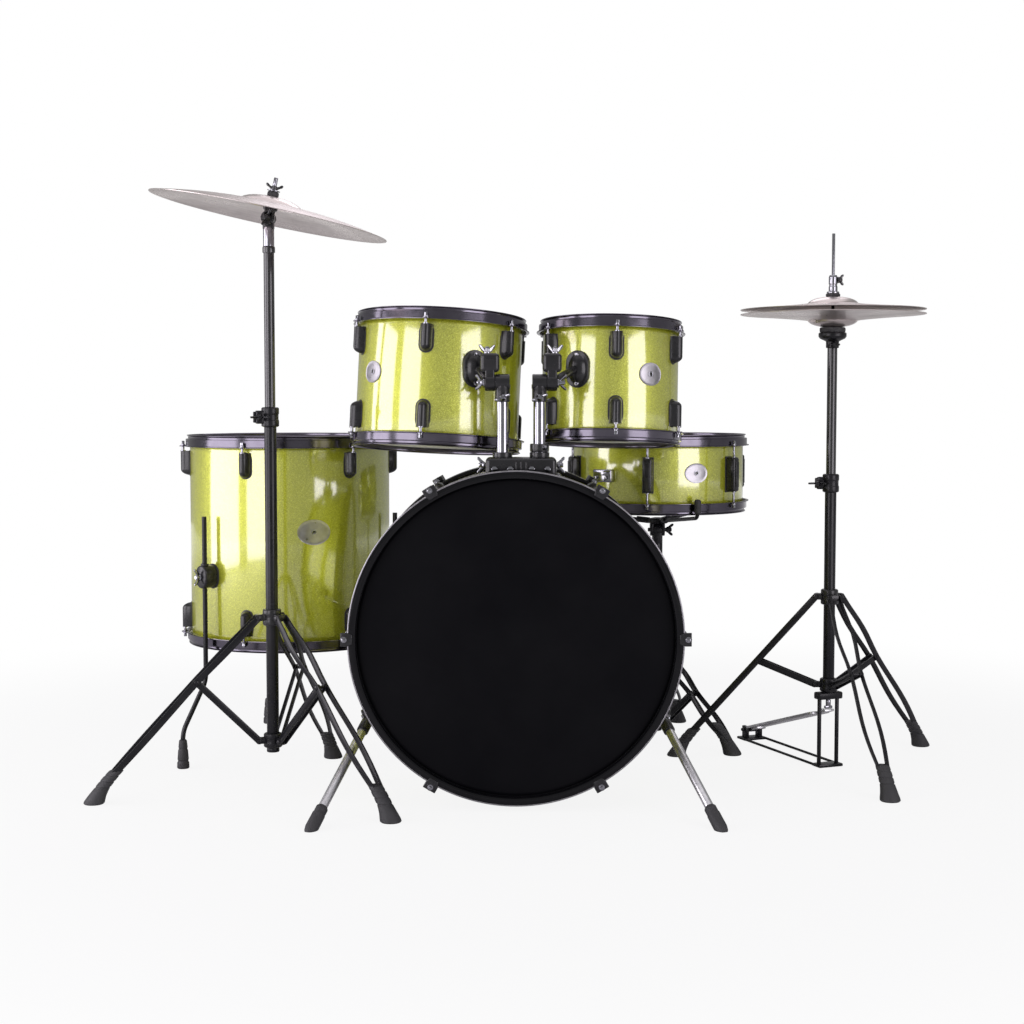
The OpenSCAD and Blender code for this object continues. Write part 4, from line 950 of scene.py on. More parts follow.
def nut(sides, radius, low, high, place):
    """Bolt head with flat sides."""
    corners = [2 * math.pi * k / sides for k in range(sides)]
    outline = [(radius * math.cos(a), radius * math.sin(a)) for a in corners]
    return prism(outline, low, high, 0.6, place)


def make_tom_mount():
    """Mount block on the bass shell, with a collar and clamp for each post."""
    centre_x = sum(POST_X) / 2
    place = T(centre_x, POST_Y, 0)
    block_z, middle_z = MOUNT_TOP - 36, MOUNT_TOP - 18
    left, right = [T(x - centre_x, 0, 0) for x in POST_X]
    cast = [block((126, 60, 36), (0, 0, middle_z), 8, 4),
            block((146, 76, 14), (0, 0, block_z - 2), 5, 3)]
    cast += [tube(MOUNT_TOP - 2, MOUNT_TOP + 9, 17.5, 11.3, 1.6, 48, at) for at in (left, right)]
    cast += [block((3, 62, 22), (x, 0, middle_z), 1.2) for x in (-9, 0, 9)]
    piece("tom_mount_casting", cast, "Cast black", "kit", "lug_black", "bass_brackets", place=place)
    bolts = []
    for side in SIDES:
        bolts += wing_screw(T(side * 64, 0, MOUNT_TOP - 14) @ R(side * 90, "Y"), 30, 14)
        bolts += [nut(6, 5.5, -1, 4, T(side * 33 + x, -30, MOUNT_TOP - 20) @ R(90, "X"))
                  for x in (-14, 14)]
        bolts += [rivet(T(side * 66, y, block_z + 4.5), 5, 2.4) for y in (-27, 27)]
    piece("tom_mount_screws", bolts, "Chrome", "kit", "steel", "bass_brackets", place=place)
    clamp_x, clamp_z = POST_X[1] - centre_x, MOUNT_TOP + 17
    screw = nut(4, 4, 0, 7, T(clamp_x + 5, -18, clamp_z) @ R(90, "Y"))
    painted(screw, "Chrome")
    clamp = [tube(MOUNT_TOP + 9.5, MOUNT_TOP + 24, 17, 11.4, 1.4, 48, right),
             block((10, 16, 12), (clamp_x, -18, clamp_z), 2), screw]
    piece("post_clamp_collar", clamp, "Cast black", "kit", "lug_black", place=place)


def make_spurs():
    """Folding legs of the bass drum, each on its disc."""
    half = SPUR_HUB / 2
    for side, label in zip(SIDES, ("left", "right")):
        body, stands_for = "spur_" + label, "bass_spur_" + label
        pivot = joint_at(body + "_fold")
        at_pivot = T(*pivot) @ R(side * 120, "Y")
        low = -half - 12.3
        fittings = [disc(half + 0.3, half + 4.3, 9, 1.2, 32),
                    pin((0, 0, low), (0, 0, half + 1), 5, 0.3, 24)]
        painted(fittings, "Chrome")
        plate = [disc(low - 5, low + 12, 24, 2, 64), tube(low + 11, low + 12.3, 22, 17, 0.5, 64)]
        piece("spur_bracket_" + label, plate + fittings, "Cast black", "kit", "lug_black",
              "bass_brackets", place=at_pivot)
        foot = Vector((pivot.x + side * 80, pivot.y - 228, 5.5))
        way = (foot - pivot).normalized()
        hub = [tube(-half, half, 17, 5.3, 1.6, 64)]
        hub += spread(block((2.4, 5, 1.2), (13.5, 0, -half - 0.1), 0.3), fan(18))
        neck = pin(pivot + way * 14, pivot + way * 44, 10.5, 1.6)
        piece("spur_hub_" + label, [moved(p, at_pivot) for p in hub] + [neck], "Cast black", body,
              "lug_black", stands_for)
        rod = pin(pivot + way * 30, foot - way * 20, 8, 0.8, 40)
        piece("spur_tube_" + label, [rod], "Brushed plate", body, "steel", stands_for)
        boot = turned([(0, -46), (9.4, -45), (10.6, -43), (10.6, -34), (9.8, -32.6), (9.8, -30),
                       (11.4, -28), (11.6, 4), (10, 12), (6.6, 19), (0, 20)], 40,
                      along(foot, foot + way))
        piece("spur_tip_" + label, [cut_below(boot)], "Rubber", body, "stand_black", stands_for)


# ---- Tom posts and brackets ----
def make_posts():
    collar = [(0, 0), (12.5, 0), (13.4, 1), (13.4, 22), (14.2, 24), (14.2, 30), (11, 34), (0, 34)]
    for x, side, label in zip(POST_X, SIDES, ("left", "right")):
        body, stands_for = "post_" + label, "tom_post_" + label
        at_tilt = T(x, POST_Y, TILT_Z)
        stem = tube(TILT_Z - 232, TILT_Z - 16, 11.1, 9, 0.7, 64, T(x, POST_Y, 0))
        piece("post_tube_" + label, [stem], "Chrome", body, "steel", stands_for)
        across = at_tilt @ R(90, "Y")
        hub = [disc(-13, 13, 15, 2.2, 64, across), turned(collar, 64, T(x, POST_Y, TILT_Z - 34))]
        teeth = spread(block((2.2, 5.4, 1), (12, 0, side * 13.2), 0.3), fan(24))
        hub += [moved(tooth, across) for tooth in teeth]
        piece("post_hub_" + label, hub, "Cast black", body, "lug_black", stands_for)
        far = x + side * 31.6
        outward = R(side * 90, "Y")
        screws = [pin((x, POST_Y, TILT_Z), (far, POST_Y, TILT_Z), 4, 0.3),
                  disc(0, 3, 9.5, 0.8, 32, T(far, POST_Y, TILT_Z) @ outward)]
        screws += wing_screw(T(far + side * 2.5, POST_Y, TILT_Z) @ outward @ R(35, "Z"), 34, 14)
        screws += wing_screw(T(x, POST_Y - 14, TILT_Z - 26) @ R(90, "X") @ R(20, "Z"), 30, 14)
        piece("post_screws_" + label, screws, "Chrome", body, "steel", stands_for)


def make_brackets():
    """Moving half of each tilter, its arm, and the big oval casting on the tom."""
    for name, x, side, azimuth in zip(("low_tom", "high_tom"), POST_X, SIDES, (-62.6, -120.8)):
        body, radius = DRUMS[name]["body"], DRUMS[name]["radius"]
        middle = node_middle(name + "_drum_tube") + Vector((0, 0, 25))
        turn = math.radians(azimuth)
        casting_at = middle + Vector((math.cos(turn), math.sin(turn), 0)) * (radius + 11)
        half = Vector((x + side * 22.3, POST_Y, TILT_Z))
        at_shell = T(*middle) @ R(azimuth, "Z") @ T(radius, 0, 0)
        flange = prism(stadium(46, 68, 12), -8, 3.4, 1.4, R(90, "Y") @ R(90, "Z"), 3)
        parts = [disc(-9, 9, 15, 1.8, 64, T(*half) @ R(90, "Y")),
                 pin(half.lerp(casting_at, 0.06), half.lerp(casting_at, 0.94), 7.5, 1.0),
                 block((17, 24, 28), (half.x, half.y, TILT_Z + 14), 2.5, 3),
                 block((34, 32, 34), (half.x, half.y + 3, TILT_Z + 35), 7, 4),
                 moved(oval_boss(42, 64, 23), at_shell), moved(flange, at_shell)]
        piece(name + "_mount_casting", parts, "Cast black", body, "lug_black", name + "_bracket")
        screws = [rivet(at_shell @ T(5, 0, z) @ R(90, "Y"), 4.4, 2.0) for z in (-26, 26)]
        wing_at = T(half.x + side * 5, half.y + 3, TILT_Z + 51)
        screws += wing_screw(wing_at @ R(30, "Z"), 34, 16)
        piece(name + "_mount_screws", screws, "Chrome", body, "steel", name + "_bracket")


def oval_boss(width, height, out):
    """Bulging oval cap, its back on the YZ plane."""
    bare()
    bpy.ops.mesh.primitive_uv_sphere_add(segments=48, ring_count=24, radius=1)
    edit()
    choose_all()
    bpy.ops.mesh.bisect(plane_co=(-0.2, 0, 0), plane_no=(1, 0, 0), use_fill=True, clear_inner=True)
    choose_all()
    bpy.ops.transform.resize(value=(out, width / 2, height / 2))
    return placed()


# ---- Stands ----
def strip_pair(path, face):
    """Two flat strips along a path in X and Z, one each side, from face outward along Y."""
    return [prism(ribbon(path, STRIP_W), low, low + STRIP_T, 0.7, R(90, "X"))
            for low in (-face - STRIP_T, face)]


def sliced(part, low, high, count):
    """Cuts across a part at even heights, so that it can bend smoothly."""
    reopened(part)
    for k in range(1, count):
        choose_all()
        bpy.ops.mesh.bisect(plane_co=(0, 0, low + (high - low) * k / count), plane_no=(0, 0, 1))
    return placed()


def bowed_pair(path):
    """Pair of strips that bow apart between their rivets and close up at the foot."""
    bow, tip = 6, 8
    heights = [point[1] for point in path]
    last = len(path) - 2
    strips = [sliced(strip, heights[-1], heights[0], 20) for strip in strip_pair(path, STRIP_OUT)]
    for strip in strips:
        for vert in strip.data.vertices:
            z = min(max(vert.co.z, heights[-1]), heights[0])
            run = next(i for i in range(last + 1) if z >= heights[i + 1])
            t = (heights[run] - z) / (heights[run] - heights[run + 1])
            swell = bow * math.sin(math.pi * t) ** 2
            close = tip * t ** 3 if run == last else 0
            vert.co.y += (swell - close) * math.copysign(1, vert.co.y)
    return strips


def pair_rivets(at, face):
    """Pin across a pair of strips, with a dome at each end."""
    half = face + STRIP_T
    x, z = at
    return [pin((x, -half, z), (x, half, z), 3, 0, 20)] + [
        rivet(T(x, side * half, z) @ R(-side * 90, "X")) for side in SIDES]


def rubber_boot(near, foot):
    """Tall ribbed rubber foot: it takes the end of a leg and turns down to a flared, flat sole."""
    height = 58
    profile = [(0, 0), (17, 0), (18.6, 1.6), (18.4, 5), (16.4, 13), (14.6, 22), (13.8, 27),
               (12.8, 28), (12.8, 30), (13.8, 31), (13.6, 37), (12.6, 38), (12.6, 40), (13.6, 41),
               (13.4, 47), (12.4, 48), (12.4, 50), (13.2, 51), (12.8, height - 1), (11.4, height),
               (0, height)]
    boot = turned(profile, 40)
    slope = (near[0] - foot[0]) / (near[1] - foot[1])
    for vert in boot.data.vertices:
        lean = slope * (height - foot[1]) * (vert.co.z / height) ** 1.35
        vert.co.x += foot[0] + lean
    painted(boot, "Rubber")
    return boot


def collar_ears(z, face):
    """One ear of a leg collar at height z, with its pin."""
    ear = block((PIVOT_R - 8, 2 * (face - 0.5), STRIP_W), ((PIVOT_R + 16) / 2, 0, z), 1.6, 3)
    return [ear] + pair_rivets((PIVOT_R, z), face)


def collar_ring(z, height, bore):
    h = height / 2
    profile = [(bore, -h), (15, -h), (17, 2 - h), (17, -4), (16.2, -3), (16.2, 3), (17, 4),
               (17, h - 2), (15, h), (bore, h)]
    return ring(lifted(profile, z), 0.8, 56)


def make_tripod(name, base, first, top, mid, foot, low):
    """Legs, braces and sliding collar of a folding stand. Gives the fixed collar."""
    places = [base @ turn for turn in fan(3, first)]
    for i, place in enumerate(places, 1):
        leg = bowed_pair([top, mid, foot]) + [rubber_boot(mid, foot)]
        leg += pair_rivets(mid, STRIP_OUT)
        leg_body, brace_body = f"{name}_leg_{i}", f"{name}_brace_{i}"
        piece(f"{name}_leg_strips_{i}", leg, "Stand black", leg_body, "stand_black", leg_body,
              place=place)
        piece(f"{name}_brace_strips_{i}", strip_pair([low, mid], STRIP_IN), "Stand black",
              brace_body, "stand_black", brace_body, place=place)
    sliding = [moved(collar_ring(top[1], 30, TUBE_R + 0.1), base)]
    sliding += copies(collar_ears(top[1], STRIP_OUT), places)
    piece(name + "_sliding_collar", sliding, "Cast black", name + "_collar", "stand_black",
          name + "_collar")
    fixed = [moved(collar_ring(low[1], 26, TUBE_R), base)]
    return fixed + copies(collar_ears(low[1], STRIP_IN), places)


def tube_clamp(top, azimuth):
    """Height clamp at the top of a base tube, with its wing bolt."""
    profile = [(TUBE_R - 1.5, -34), (13, -36), (16, -34), (16, -24), (15, -23), (15, -13),
               (16, -12), (16, -2), (14, 0), (TUBE_R - 1.4, 0)]
    parts = [ring(lifted(profile, top), 0.8, 56), block((15, 18, 24), (19, 0, top - 18), 2.4, 3),
             block((10, 6, 20), (26, 0, top - 18), 1.6, 3)]
    parts += wing_screw(T(22, 11, top - 18) @ R(-90, "X"), 36, 17)
    return [moved(p, R(azimuth, "Z")) for p in parts]


def base_tube(low, top):
    return tube(low, top, TUBE_R, TUBE_R - 1.5, 0.5, 56)


def make_crash_stand():
    top, mid, foot, low = (PIVOT_R, 325), (139, 211.5), (322, 14), (PIVOT_R, 98)
    fixed = make_tripod("crash", AT_CRASH, CRASH_LEG_TURN, top, mid, foot, low)
    base_top = node_box("crash_base_tube")[1].z
    parts = [base_tube(80, base_top - 30), disc(76, 84, 11.6, 2, 48)]
    parts += tube_clamp(base_top, CRASH_LEG_TURN)
    fixed += [moved(p, AT_CRASH) for p in parts]
    piece("crash_base", fixed, "Stand black", "kit", "stand_black", "crash_base_tube")
    upper = [tube(560, 992, UPPER_R, 8, 0.5, 56),
             ring([(0.1, 986), (11.4, 986), (11.4, 996), (9, 999), (0.1, 999)], 0.8, 48)]
    piece("crash_upper_rod", upper, "Gloss black", "crash_upper", "stand_black",
          "crash_upper_tube", place=AT_CRASH)
    pivot = CRASH_PIVOT.z
    sleeve = turned([(0, 996), (8.6, 996), (10, 998), (10, pivot - 20), (8.6, pivot - 16),
                     (0, pivot - 16)], 56)
    piece("crash_sleeve", [sleeve], "Chrome", "crash_upper", "steel", "crash_upper_tube",
          place=AT_CRASH)
    tongue = [block((20, 14, 20), (0, 0, pivot - 10), 1.6, 3),
              disc(-7, 7, 12, 1, 56, T(0, 0, pivot) @ R(90, "X"))]
    bolt = pin((0, -16, pivot), (0, 16, pivot), 4, 0.4)
    painted(bolt, "Chrome")
    wing = wing_screw(T(0, -15.5, pivot) @ R(90, "X") @ R(60, "Z"), 34, 14)
    piece("crash_tilter_base", tongue + [bolt] + wing, "Cast black", "crash_upper", "stand_black",
          "crash_upper_tube", place=AT_CRASH)


def make_crash_tilter():
    parts = [disc(-3, 3, 12.4, 0.9, 56, T(0, side * 10.3, 0) @ R(90, "X")) for side in SIDES]
    parts += [block((16, 6, 20), (0, side * 10.3, 9), 1.4) for side in SIDES]
    parts += spread(block((2, 1.2, 3), (0, -13.4, 11), 0.3), fan(15, axis="Y"))
    parts.append(ring([(0.1, 13.2), (10, 13.2), (13, 15), (13, 21), (14.4, 24), (14.4, 30.5),
                       (12, 32), (11.6, 28), (6, 26), (0.1, 26)], 0.9, 56))
    piece("crash_tilter_casting", parts, "Cast black", "crash_tilter", "steel", "crash_tilter",
          place=AT_CYMBAL)
    post = [pin((0, 0, 24), (0, 0, HANG + 11), 5, 0.4, 28),
            pin((0, 0, HANG + 10), (0, 0, HANG + 35.6), 3.7, 0.8, 28)]
    post += [turned([(3.6, z), (3.9, z + 0.4), (3.6, z + 0.8)], 24)
             for z in [HANG + 26 + 1.1 * k for k in range(8)]]
    post.append(disc(HANG + 11, HANG + 12.6, 11.6, 0.5, 40))
    piece("crash_post", post, "Chrome", "crash_tilter", "steel", "crash_tilter", place=AT_CYMBAL)
    wing_nut = wing_screw(T(0, 0, HANG + 12.8), 32, 11, 3.95)
    piece("crash_wing_nut", wing_nut, "Gloss black", "crash_tilter", "steel", "crash_tilter",
          place=AT_CYMBAL)


def cymbal_height(q, radius, bow, bell, curve):
    """Height of a cymbal's middle sheet at a radius q: bell, then bow."""
    bell_r, flat = radius * 0.27, 16
    if q <= bell_r:
        t = max(0.0, q - flat) / (bell_r - flat)
        return bow + bell * math.sqrt(1 - t * t * 0.97) - bell * math.sqrt(0.03) * t
    return bow * (1 - ((q - bell_r) / (radius - bell_r)) ** curve)


def cymbal_plate(radius, bow, bell, curve, place):
    hole, thick, bell_r = 6.5, 1.2, radius * 0.27
    spots = [hole, 10, 16]
    spots += [16 + (bell_r - 16) * math.sin(k * math.pi / 24) for k in range(1, 13)]
    spots += [bell_r + (radius - bell_r) * k / 26 for k in range(1, 27)]
    upper = [(q, cymbal_height(q, radius, bow, bell, curve)) for q in spots]
    lower = [(q, z - thick) for q, z in reversed(upper)]
    return turned(upper + [(radius + 0.25, -thick / 2)] + lower + upper[:1], 160, place)


def felt_washer(low, high, outer, inner=6.6):
    profile = [(inner, low + 1), (inner + 1, low), (outer - 2, low), (outer - 0.4, low + 1.4),
               (outer, (low + high) / 2), (outer - 0.4, high - 1.4), (outer - 2, high),
               (inner + 1, high), (inner, high - 1)]
    return ring(profile, 0.5, 48)


def make_crash_cymbal(sizes):
    plate = cymbal_plate(sizes.crash_radius * TO_MM, 20, 15, 1.7, AT_CYMBAL @ T(0, 0, HANG - 34.4))
    piece("crash_cymbal_plate", [plate], "Crash bronze", "crash_cymbal", "cymbal", "crash_cymbal")
    felts = [felt_washer(HANG - 12.4, HANG - 0.6, 11), felt_washer(HANG + 0.6, HANG + 10.2, 10.5)]
    piece("crash_felts", felts, "Felt", "crash_cymbal", "stand_black", "crash_cymbal",
          place=AT_CYMBAL)


def make_hihat_stand():
    top, mid, foot, low = (PIVOT_R, 336), (141, 204), (306.5, 14), (PIVOT_R, 162)
    fixed = make_tripod("hihat", AT_HAT, HAT_LEG_TURN, top, mid, foot, low)
    clamp_top = 577
    parts = [base_tube(146, clamp_top - 30)] + tube_clamp(clamp_top, HAT_LEG_TURN)
    fixed += [moved(p, AT_HAT) for p in parts]
    frame_parts = [block((22, 54, 14), (0, 0, 141), 3, 3)]
    for side in SIDES:
        frame_parts.append(pin((0, side * 20, 4), (0, side * 20, 136), 4, 0.4))
        frame_parts.append(wire([(-8, side * 24, 2.8), (300, side * 24, 2.8)], 2.6, 0, 4))
        frame_parts.append(block((18, 8, 27), (HEEL_X, side * 16, 16), 1.6))
    frame_parts.append(block((34, 54, 5), (HEEL_X + 1, 0, 2.5), 1.5))
    frame_parts.append(block((28, 54, 6), (0, 0, 3), 1.5))
    frame_parts.append(pin((HEEL_X, -26, HEEL_Z), (HEEL_X, 26, HEEL_Z), 3, 0.4))
    fixed += [moved(p, AT_HAT @ R(HEEL_TURN, "Z")) for p in frame_parts]
    piece("hihat_base", fixed, "Stand black", "kit", "stand_black", "hihat_base_tube")
    cup_z = node_box("hihat_upper_tube")[1].z - 28
    cup = [(4.1, -10), (12, -10), (15, -8), (24, -4), (27, 0), (27, 6), (25.6, 8), (4.1, 8)]
    stem = tube(440, cup_z - 6, UPPER_R, 8, 0.5, 56)
    painted(stem, "Gloss black")
    upper = [stem, ring(lifted(cup, cup_z), 1.2, 56),
             tube(cup_z + 7, cup_z + 28, 5.5, 4.1, 0.4, 32)]
    upper += wing_screw(T(0, -12.5, cup_z - 16) @ R(90, "X"), 22, 12, 2.4)
    upper.append(tube(cup_z - 22, cup_z - 9, 12.5, 9.4, 1.2, 48))
    felt = felt_washer(cup_z + 8, cup_z + 18, 25, 5.8)
    painted(felt, "Felt")
    piece("hihat_upper", upper + [felt], "Stand black", "hihat_upper", "stand_black",
          "hihat_upper_tube", place=AT_HAT)
    rod_low, rod_high = [corner.z for corner in node_box("hihat_pull_rod")]
    coupling = [block((7, 16, 6), (0, 0, rod_low + 3), 1.2),
                pin((0, 0, rod_low + 6), (0, 0, rod_low + 18), 5, 1)]
    rod = [pin((0, 0, rod_low + 3), (0, 0, rod_high), 3, 0.8, 24)]
    piece("hihat_rod", rod + [moved(p, R(HEEL_TURN, "Z")) for p in coupling], "Chrome",
          "hihat_rod", "steel", "hihat_pull_rod", place=AT_HAT)
    make_hihat_footboard()


def tread(length, width, thickness, place, bars=9):
    """Footboard plate with raised bars."""
    x, y = length / 2, width / 2
    corners = softened([(x, y, 0), (-x, y, 0), (-x, -y, 0), (x, -y, 0)], 9, 5, True)
    parts = [prism([(p.x, p.y) for p in corners], 0, thickness, 0.9)]
    for k in range(bars):
        bar_x = -length / 2 + length * (k + 1.2) / (bars + 1.4)
        parts.append(block((4, width * 0.62, 1.8), (bar_x, 0, thickness + 0.4), 0.7))
    return [moved(p, place) for p in parts]


def make_hihat_footboard():
    rise = 108 - HEEL_Z
    slope, length = math.degrees(math.atan2(rise, HEEL_X)), math.hypot(rise, HEEL_X)
    board = tread(length - 40, 48, 5, T(-length / 2 + 8, 0, 0))
    board.append(block((46, 22, 9.4), (-17, 0, 0), 2))
    board.append(block((40, 22, 5), (-length + 14, 0, 2.5), 1.4))
    board.append(disc(5, 9, 6, 1, 28, T(-length + 24, 0, 0)))
    board.append(tube(-12, 12, 6, 3.1, 0.8, 32, R(90, "X")))
    piece("hihat_pedal_board", board, "Brushed plate", "hihat_footboard", "steel",
          "hihat_footboard",
          place=AT_HAT @ R(HEEL_TURN, "Z") @ T(HEEL_X, 0, HEEL_Z) @ R(slope, "Y"))


def make_hihat_cymbals(sizes):
    plate = (sizes.hihat_radius * TO_MM, 12, 12, 0.75)
    lower = cymbal_plate(*plate, AT_HAT @ T(0, 0, HAT_EDGE_Z) @ R(180, "X"))
    piece("hihat_lower_plate", [lower], "Hi-hat bronze", "hihat_upper", "cymbal",
          "hihat_bottom_cymbal")
    upper = cymbal_plate(*plate, AT_HAT @ T(0, 0, HAT_EDGE_Z + 10))
    piece("hihat_upper_plate", [upper], "Hi-hat bronze", "hihat_top", "cymbal", "hihat_top_cymbal")
    bell_z = HAT_EDGE_Z + 34
    felts = [felt_washer(bell_z, bell_z + 7, 14), felt_washer(bell_z - 7.2, bell_z - 1.2, 13)]
    piece("hihat_clutch_felts", felts, "Felt", "hihat_top", "stand_black", "hihat_top_cymbal",
          place=AT_HAT)
    profile = [(3.1, -13.2), (9, -13.2), (10, -12), (10, -7.4), (6, -7.2), (6, 7), (12, 7),
               (12, 10), (8.5, 11), (8.5, 20), (7.6, 21), (7.6, 24), (8.5, 25), (8.5, 38), (7, 42),
               (3.1, 42)]
    screw = wing_screw(T(8, 0, bell_z + 33) @ R(90, "Y"), 22, 12, 2.8)
    painted(screw, "Gloss black")
    piece("hihat_clutch", [ring(lifted(profile, bell_z), 0.6, 48)] + screw, "Chrome", "hihat_top",
          "steel", "hihat_top_cymbal", place=AT_HAT)


def make_snare_stand():
    base = T(SNARE_MIDDLE.x, SNARE_MIDDLE.y, 0)
    top, low, foot = (PIVOT_R, 185), (PIVOT_R, 42), (213, 14)
    knee = tuple(a + (b - a) * 0.42 for a, b in zip(top, foot))
    pivot_z = joint_at("snare_tilt").z
    parts = [base_tube(26, pivot_z - 13), collar_ring(top[1], 30, TUBE_R),
             collar_ring(low[1], 26, TUBE_R), disc(20, 28, 11.6, 2, 48)]
    parts += tube_clamp(336, 0)
    parts += [block((18, 22, 30), (0, 0, pivot_z - 15), 2.4, 3),
              disc(-9, 9, 13, 1, 56, T(0, 0, pivot_z) @ R(90, "Y")),
              pin((-20, 0, pivot_z), (20, 0, pivot_z), 4, 0.5)]
    parts += wing_screw(T(19, 0, pivot_z) @ R(90, "Y") @ R(40, "Z"), 34, 14)
    legs = bowed_pair([top, knee, foot]) + strip_pair([low, knee], STRIP_IN)
    legs += collar_ears(top[1], STRIP_OUT) + collar_ears(low[1], STRIP_IN)
    legs += pair_rivets(knee, STRIP_OUT) + [rubber_boot(top, foot)]
    parts += copies(legs, fan(3, SNARE_LEG_TURN))
    piece("snare_stand", parts, "Stand black", "kit", "stand_black", "snare_stand_base", place=base)
    make_basket(base @ T(0, 0, pivot_z))


def make_basket(place):
    """Swivel and three arms that hold the snare by its lower hoop."""
    hub_z, reach = 19, DRUMS["snare"]["radius"] + 12.5 + 8.5
    hoop_z = 500 - 10.8
    arm_z = hoop_z - joint_at("snare_tilt").z - 4 - 0.3
    parts = [disc(-3, 3, 13, 0.9, 56, T(side * 12.3, 0, 0) @ R(90, "Y")) for side in SIDES]
    parts += [block((6, 26, 17), (side * 12.3, 0, 8.5), 1.2) for side in SIDES]
    parts.append(turned([(0, 14), (18, 14), (21, 16), (21, 21), (18, 24), (8, 26), (0, 26)], 56))
    arm = wire([(14, 0, hub_z), (reach, 0, arm_z), (reach, 0, arm_z + 34)], 4, 12, 5)
    socket_z = hub_z + 0.4
    slope = (arm_z - hub_z) / (reach - 14)
    socket = pin((16, 0, socket_z), (44, 0, socket_z + slope * 30), 6.4, 1)
    profile = [(0.1, 10), (6, 9), (7, 11), (7, 17), (6.3, 18), (6.3, 20), (7, 21), (7, 33),
               (5, 37), (0.1, 38)]
    grip = ring(lifted(profile, arm_z), 0.6, 32, T(reach, 0, 0))
    painted(grip, "Rubber")
    parts += copies((arm, socket, grip), fan(3, DRUMS["snare"]["turn"] + 30))
    piece("snare_basket_arms", parts, "Stand black", "snare", "stand_black", "snare_basket",
          place=place)


# ---- Bass pedal ----
def make_bass_pedal():
    axle, heel = joint_at("beater_swing"), joint_at("bass_pedal")
    place = T(BASS_MIDDLE.x, 0, 0)
    half = 44
    parts = [block((76, heel.y + 86 - axle.y, 8), (0, (heel.y + axle.y - 46) / 2, 4.4), 2),
             block((2 * half + 16, 44, 8.4), (0, axle.y, 4.4), 2)]
    foot = [(0, 8), (9, 8), (9, 14), (6.4, 20), (6, 24)]
    eye = lifted([(6, -14), (8, -8), (8, 8), (6, 14), (0, 14)], axle.z)
    for side in SIDES:
        x = side * (half + 4)
        parts.append(turned(foot + eye, 40, T(x, axle.y, 0)))
        parts.append(tube(-7, 7, 10, 5.1, 0.8, 40, T(x, axle.y, axle.z) @ R(90, "Y")))
        parts.append(block((14, 24, heel.z + 3), (side * 22, heel.y, 6 + heel.z / 2), 2))
    parts.append(pin((-30, heel.y, heel.z), (30, heel.y, heel.z), 3))
    parts.append(block((40, 30, 8), (0, axle.y - 50, 12), 2))
    piece("bass_pedal_base", parts, "Stand black", "kit", "stand_black", "bass_pedal_frame",
          place=place)
    spring_x = half + 16
    coil = [(spring_x + 5 * math.cos(a), axle.y + 5 * math.sin(a), 30 + a * 2.1)
            for a in [k * math.pi / 6 for k in range(120)]]
    spring = [wire(coil, 0.9, 0, 2)]
    spring += [pin((spring_x, axle.y, low), (spring_x, axle.y, high), 2.4)
               for low, high in ((12, 32), (158, axle.z))]
    piece("bass_pedal_spring", spring, "Chrome", "kit", "steel", place=place)
    toe_y, toe_z = axle.y - 30, 96
    rise, run = toe_z - heel.z, heel.y - toe_y
    length = math.hypot(rise, run)
    board = tread(length - 54, 70, 6, T(-length / 2 + 6, 0, 0), 11)
    board.append(block((60, 28, 6), (-length + 30, 0, 3), 1.6))
    board.append(block((36, 28, 11.4), (-12, 0, 0), 2.4))
    board.append(tube(-14, 14, 6.4, 3.1, 0.8, 32, R(90, "X")))
    slope = R(math.degrees(math.atan2(rise, run)), "Y")
    piece("bass_pedal_board", board, "Brushed plate", "pedal_footboard", "steel",
          "bass_pedal_footboard", place=place @ T(0, heel.y, heel.z) @ R(90, "Z") @ slope)
    links = []
    for k in range(11):
        odd = k % 2
        at = T(0, toe_y - 1, toe_z + 4 + k * 8.6) @ R(90, "Y") @ R(90, "X" if odd else "Z")
        links += spread(prism(stadium(5, 9.6), -1.1, 1.1, 0.3, at),
                        [T(x, 0, 0) for x in ((-4, 4) if odd else (-2, 2))])
    piece("bass_pedal_chain", links, "Chrome", "pedal_footboard", "steel", "bass_pedal_footboard",
          place=place)
    make_beater(place @ T(0, axle.y, axle.z), half)


def make_beater(place, half):
    lean = R(45, "X")
    shaft = [pin((-half - 10, 0, 0), (half + 10, 0, 0), 5, 0.6),
             pin((-13, 0, 0), (13, 0, 0), 13, 1.4, 48), pin((-7, 0, 0), (7, 0, 0), 30, 1, 64),
             block((16, 12, 26), (0, -12, 14), 2), moved(pin((0, 0, 6), (0, 0, 184), 4, 0.6), lean)]
    piece("beater_axle", shaft, "Chrome", "pedal_beater", "steel", "bass_pedal_beater", place=place)
    felt = turned([(0, -21), (20, -21), (23, -18), (24, -12), (24, 12), (23, 18), (20, 21),
                   (0, 21)], 56, lean @ T(0, 0, 190) @ R(90, "X"))
    piece("beater_felt", [felt], "Pale felt", "pedal_beater", "head_white", "bass_pedal_beater",
          place=place)


# ---- Stage ----
MIDDLE_X, MIDDLE_Y = -0.03, 0.007
LAMP_TINT = (0.98, 0.93, 1)
LAMPS = [
    ("Side softbox", (-2.5, -0.5, 0.95), (0, 0, 0.95), (1.6, 1.8), 36),
    ("Left softbox", (-1.75, -2.2, 1.1), (0, 0, 1.1), (1.3, 2.1), 31),
    ("Right softbox", (2.1, -2.2, 1.08), (0, 0, 1.08), (1.6, 2.1), 37),
    ("Top softbox", (0, 0, 3.4), (0, 0, 0), (4, 4), 34),
    ("Back softbox", (0.4, 2.6, 3.0), (0, 0, 0.5), (2.4, 1.4), 18),
]
CAMERA_AT, CAMERA_DOWN, LENS = (-0.053, -3.359, 0.720), 3.68, 60.9
FLOOR_SIZE, FLOOR_Y, FLOOR_Z = 12, 1, -0.0005


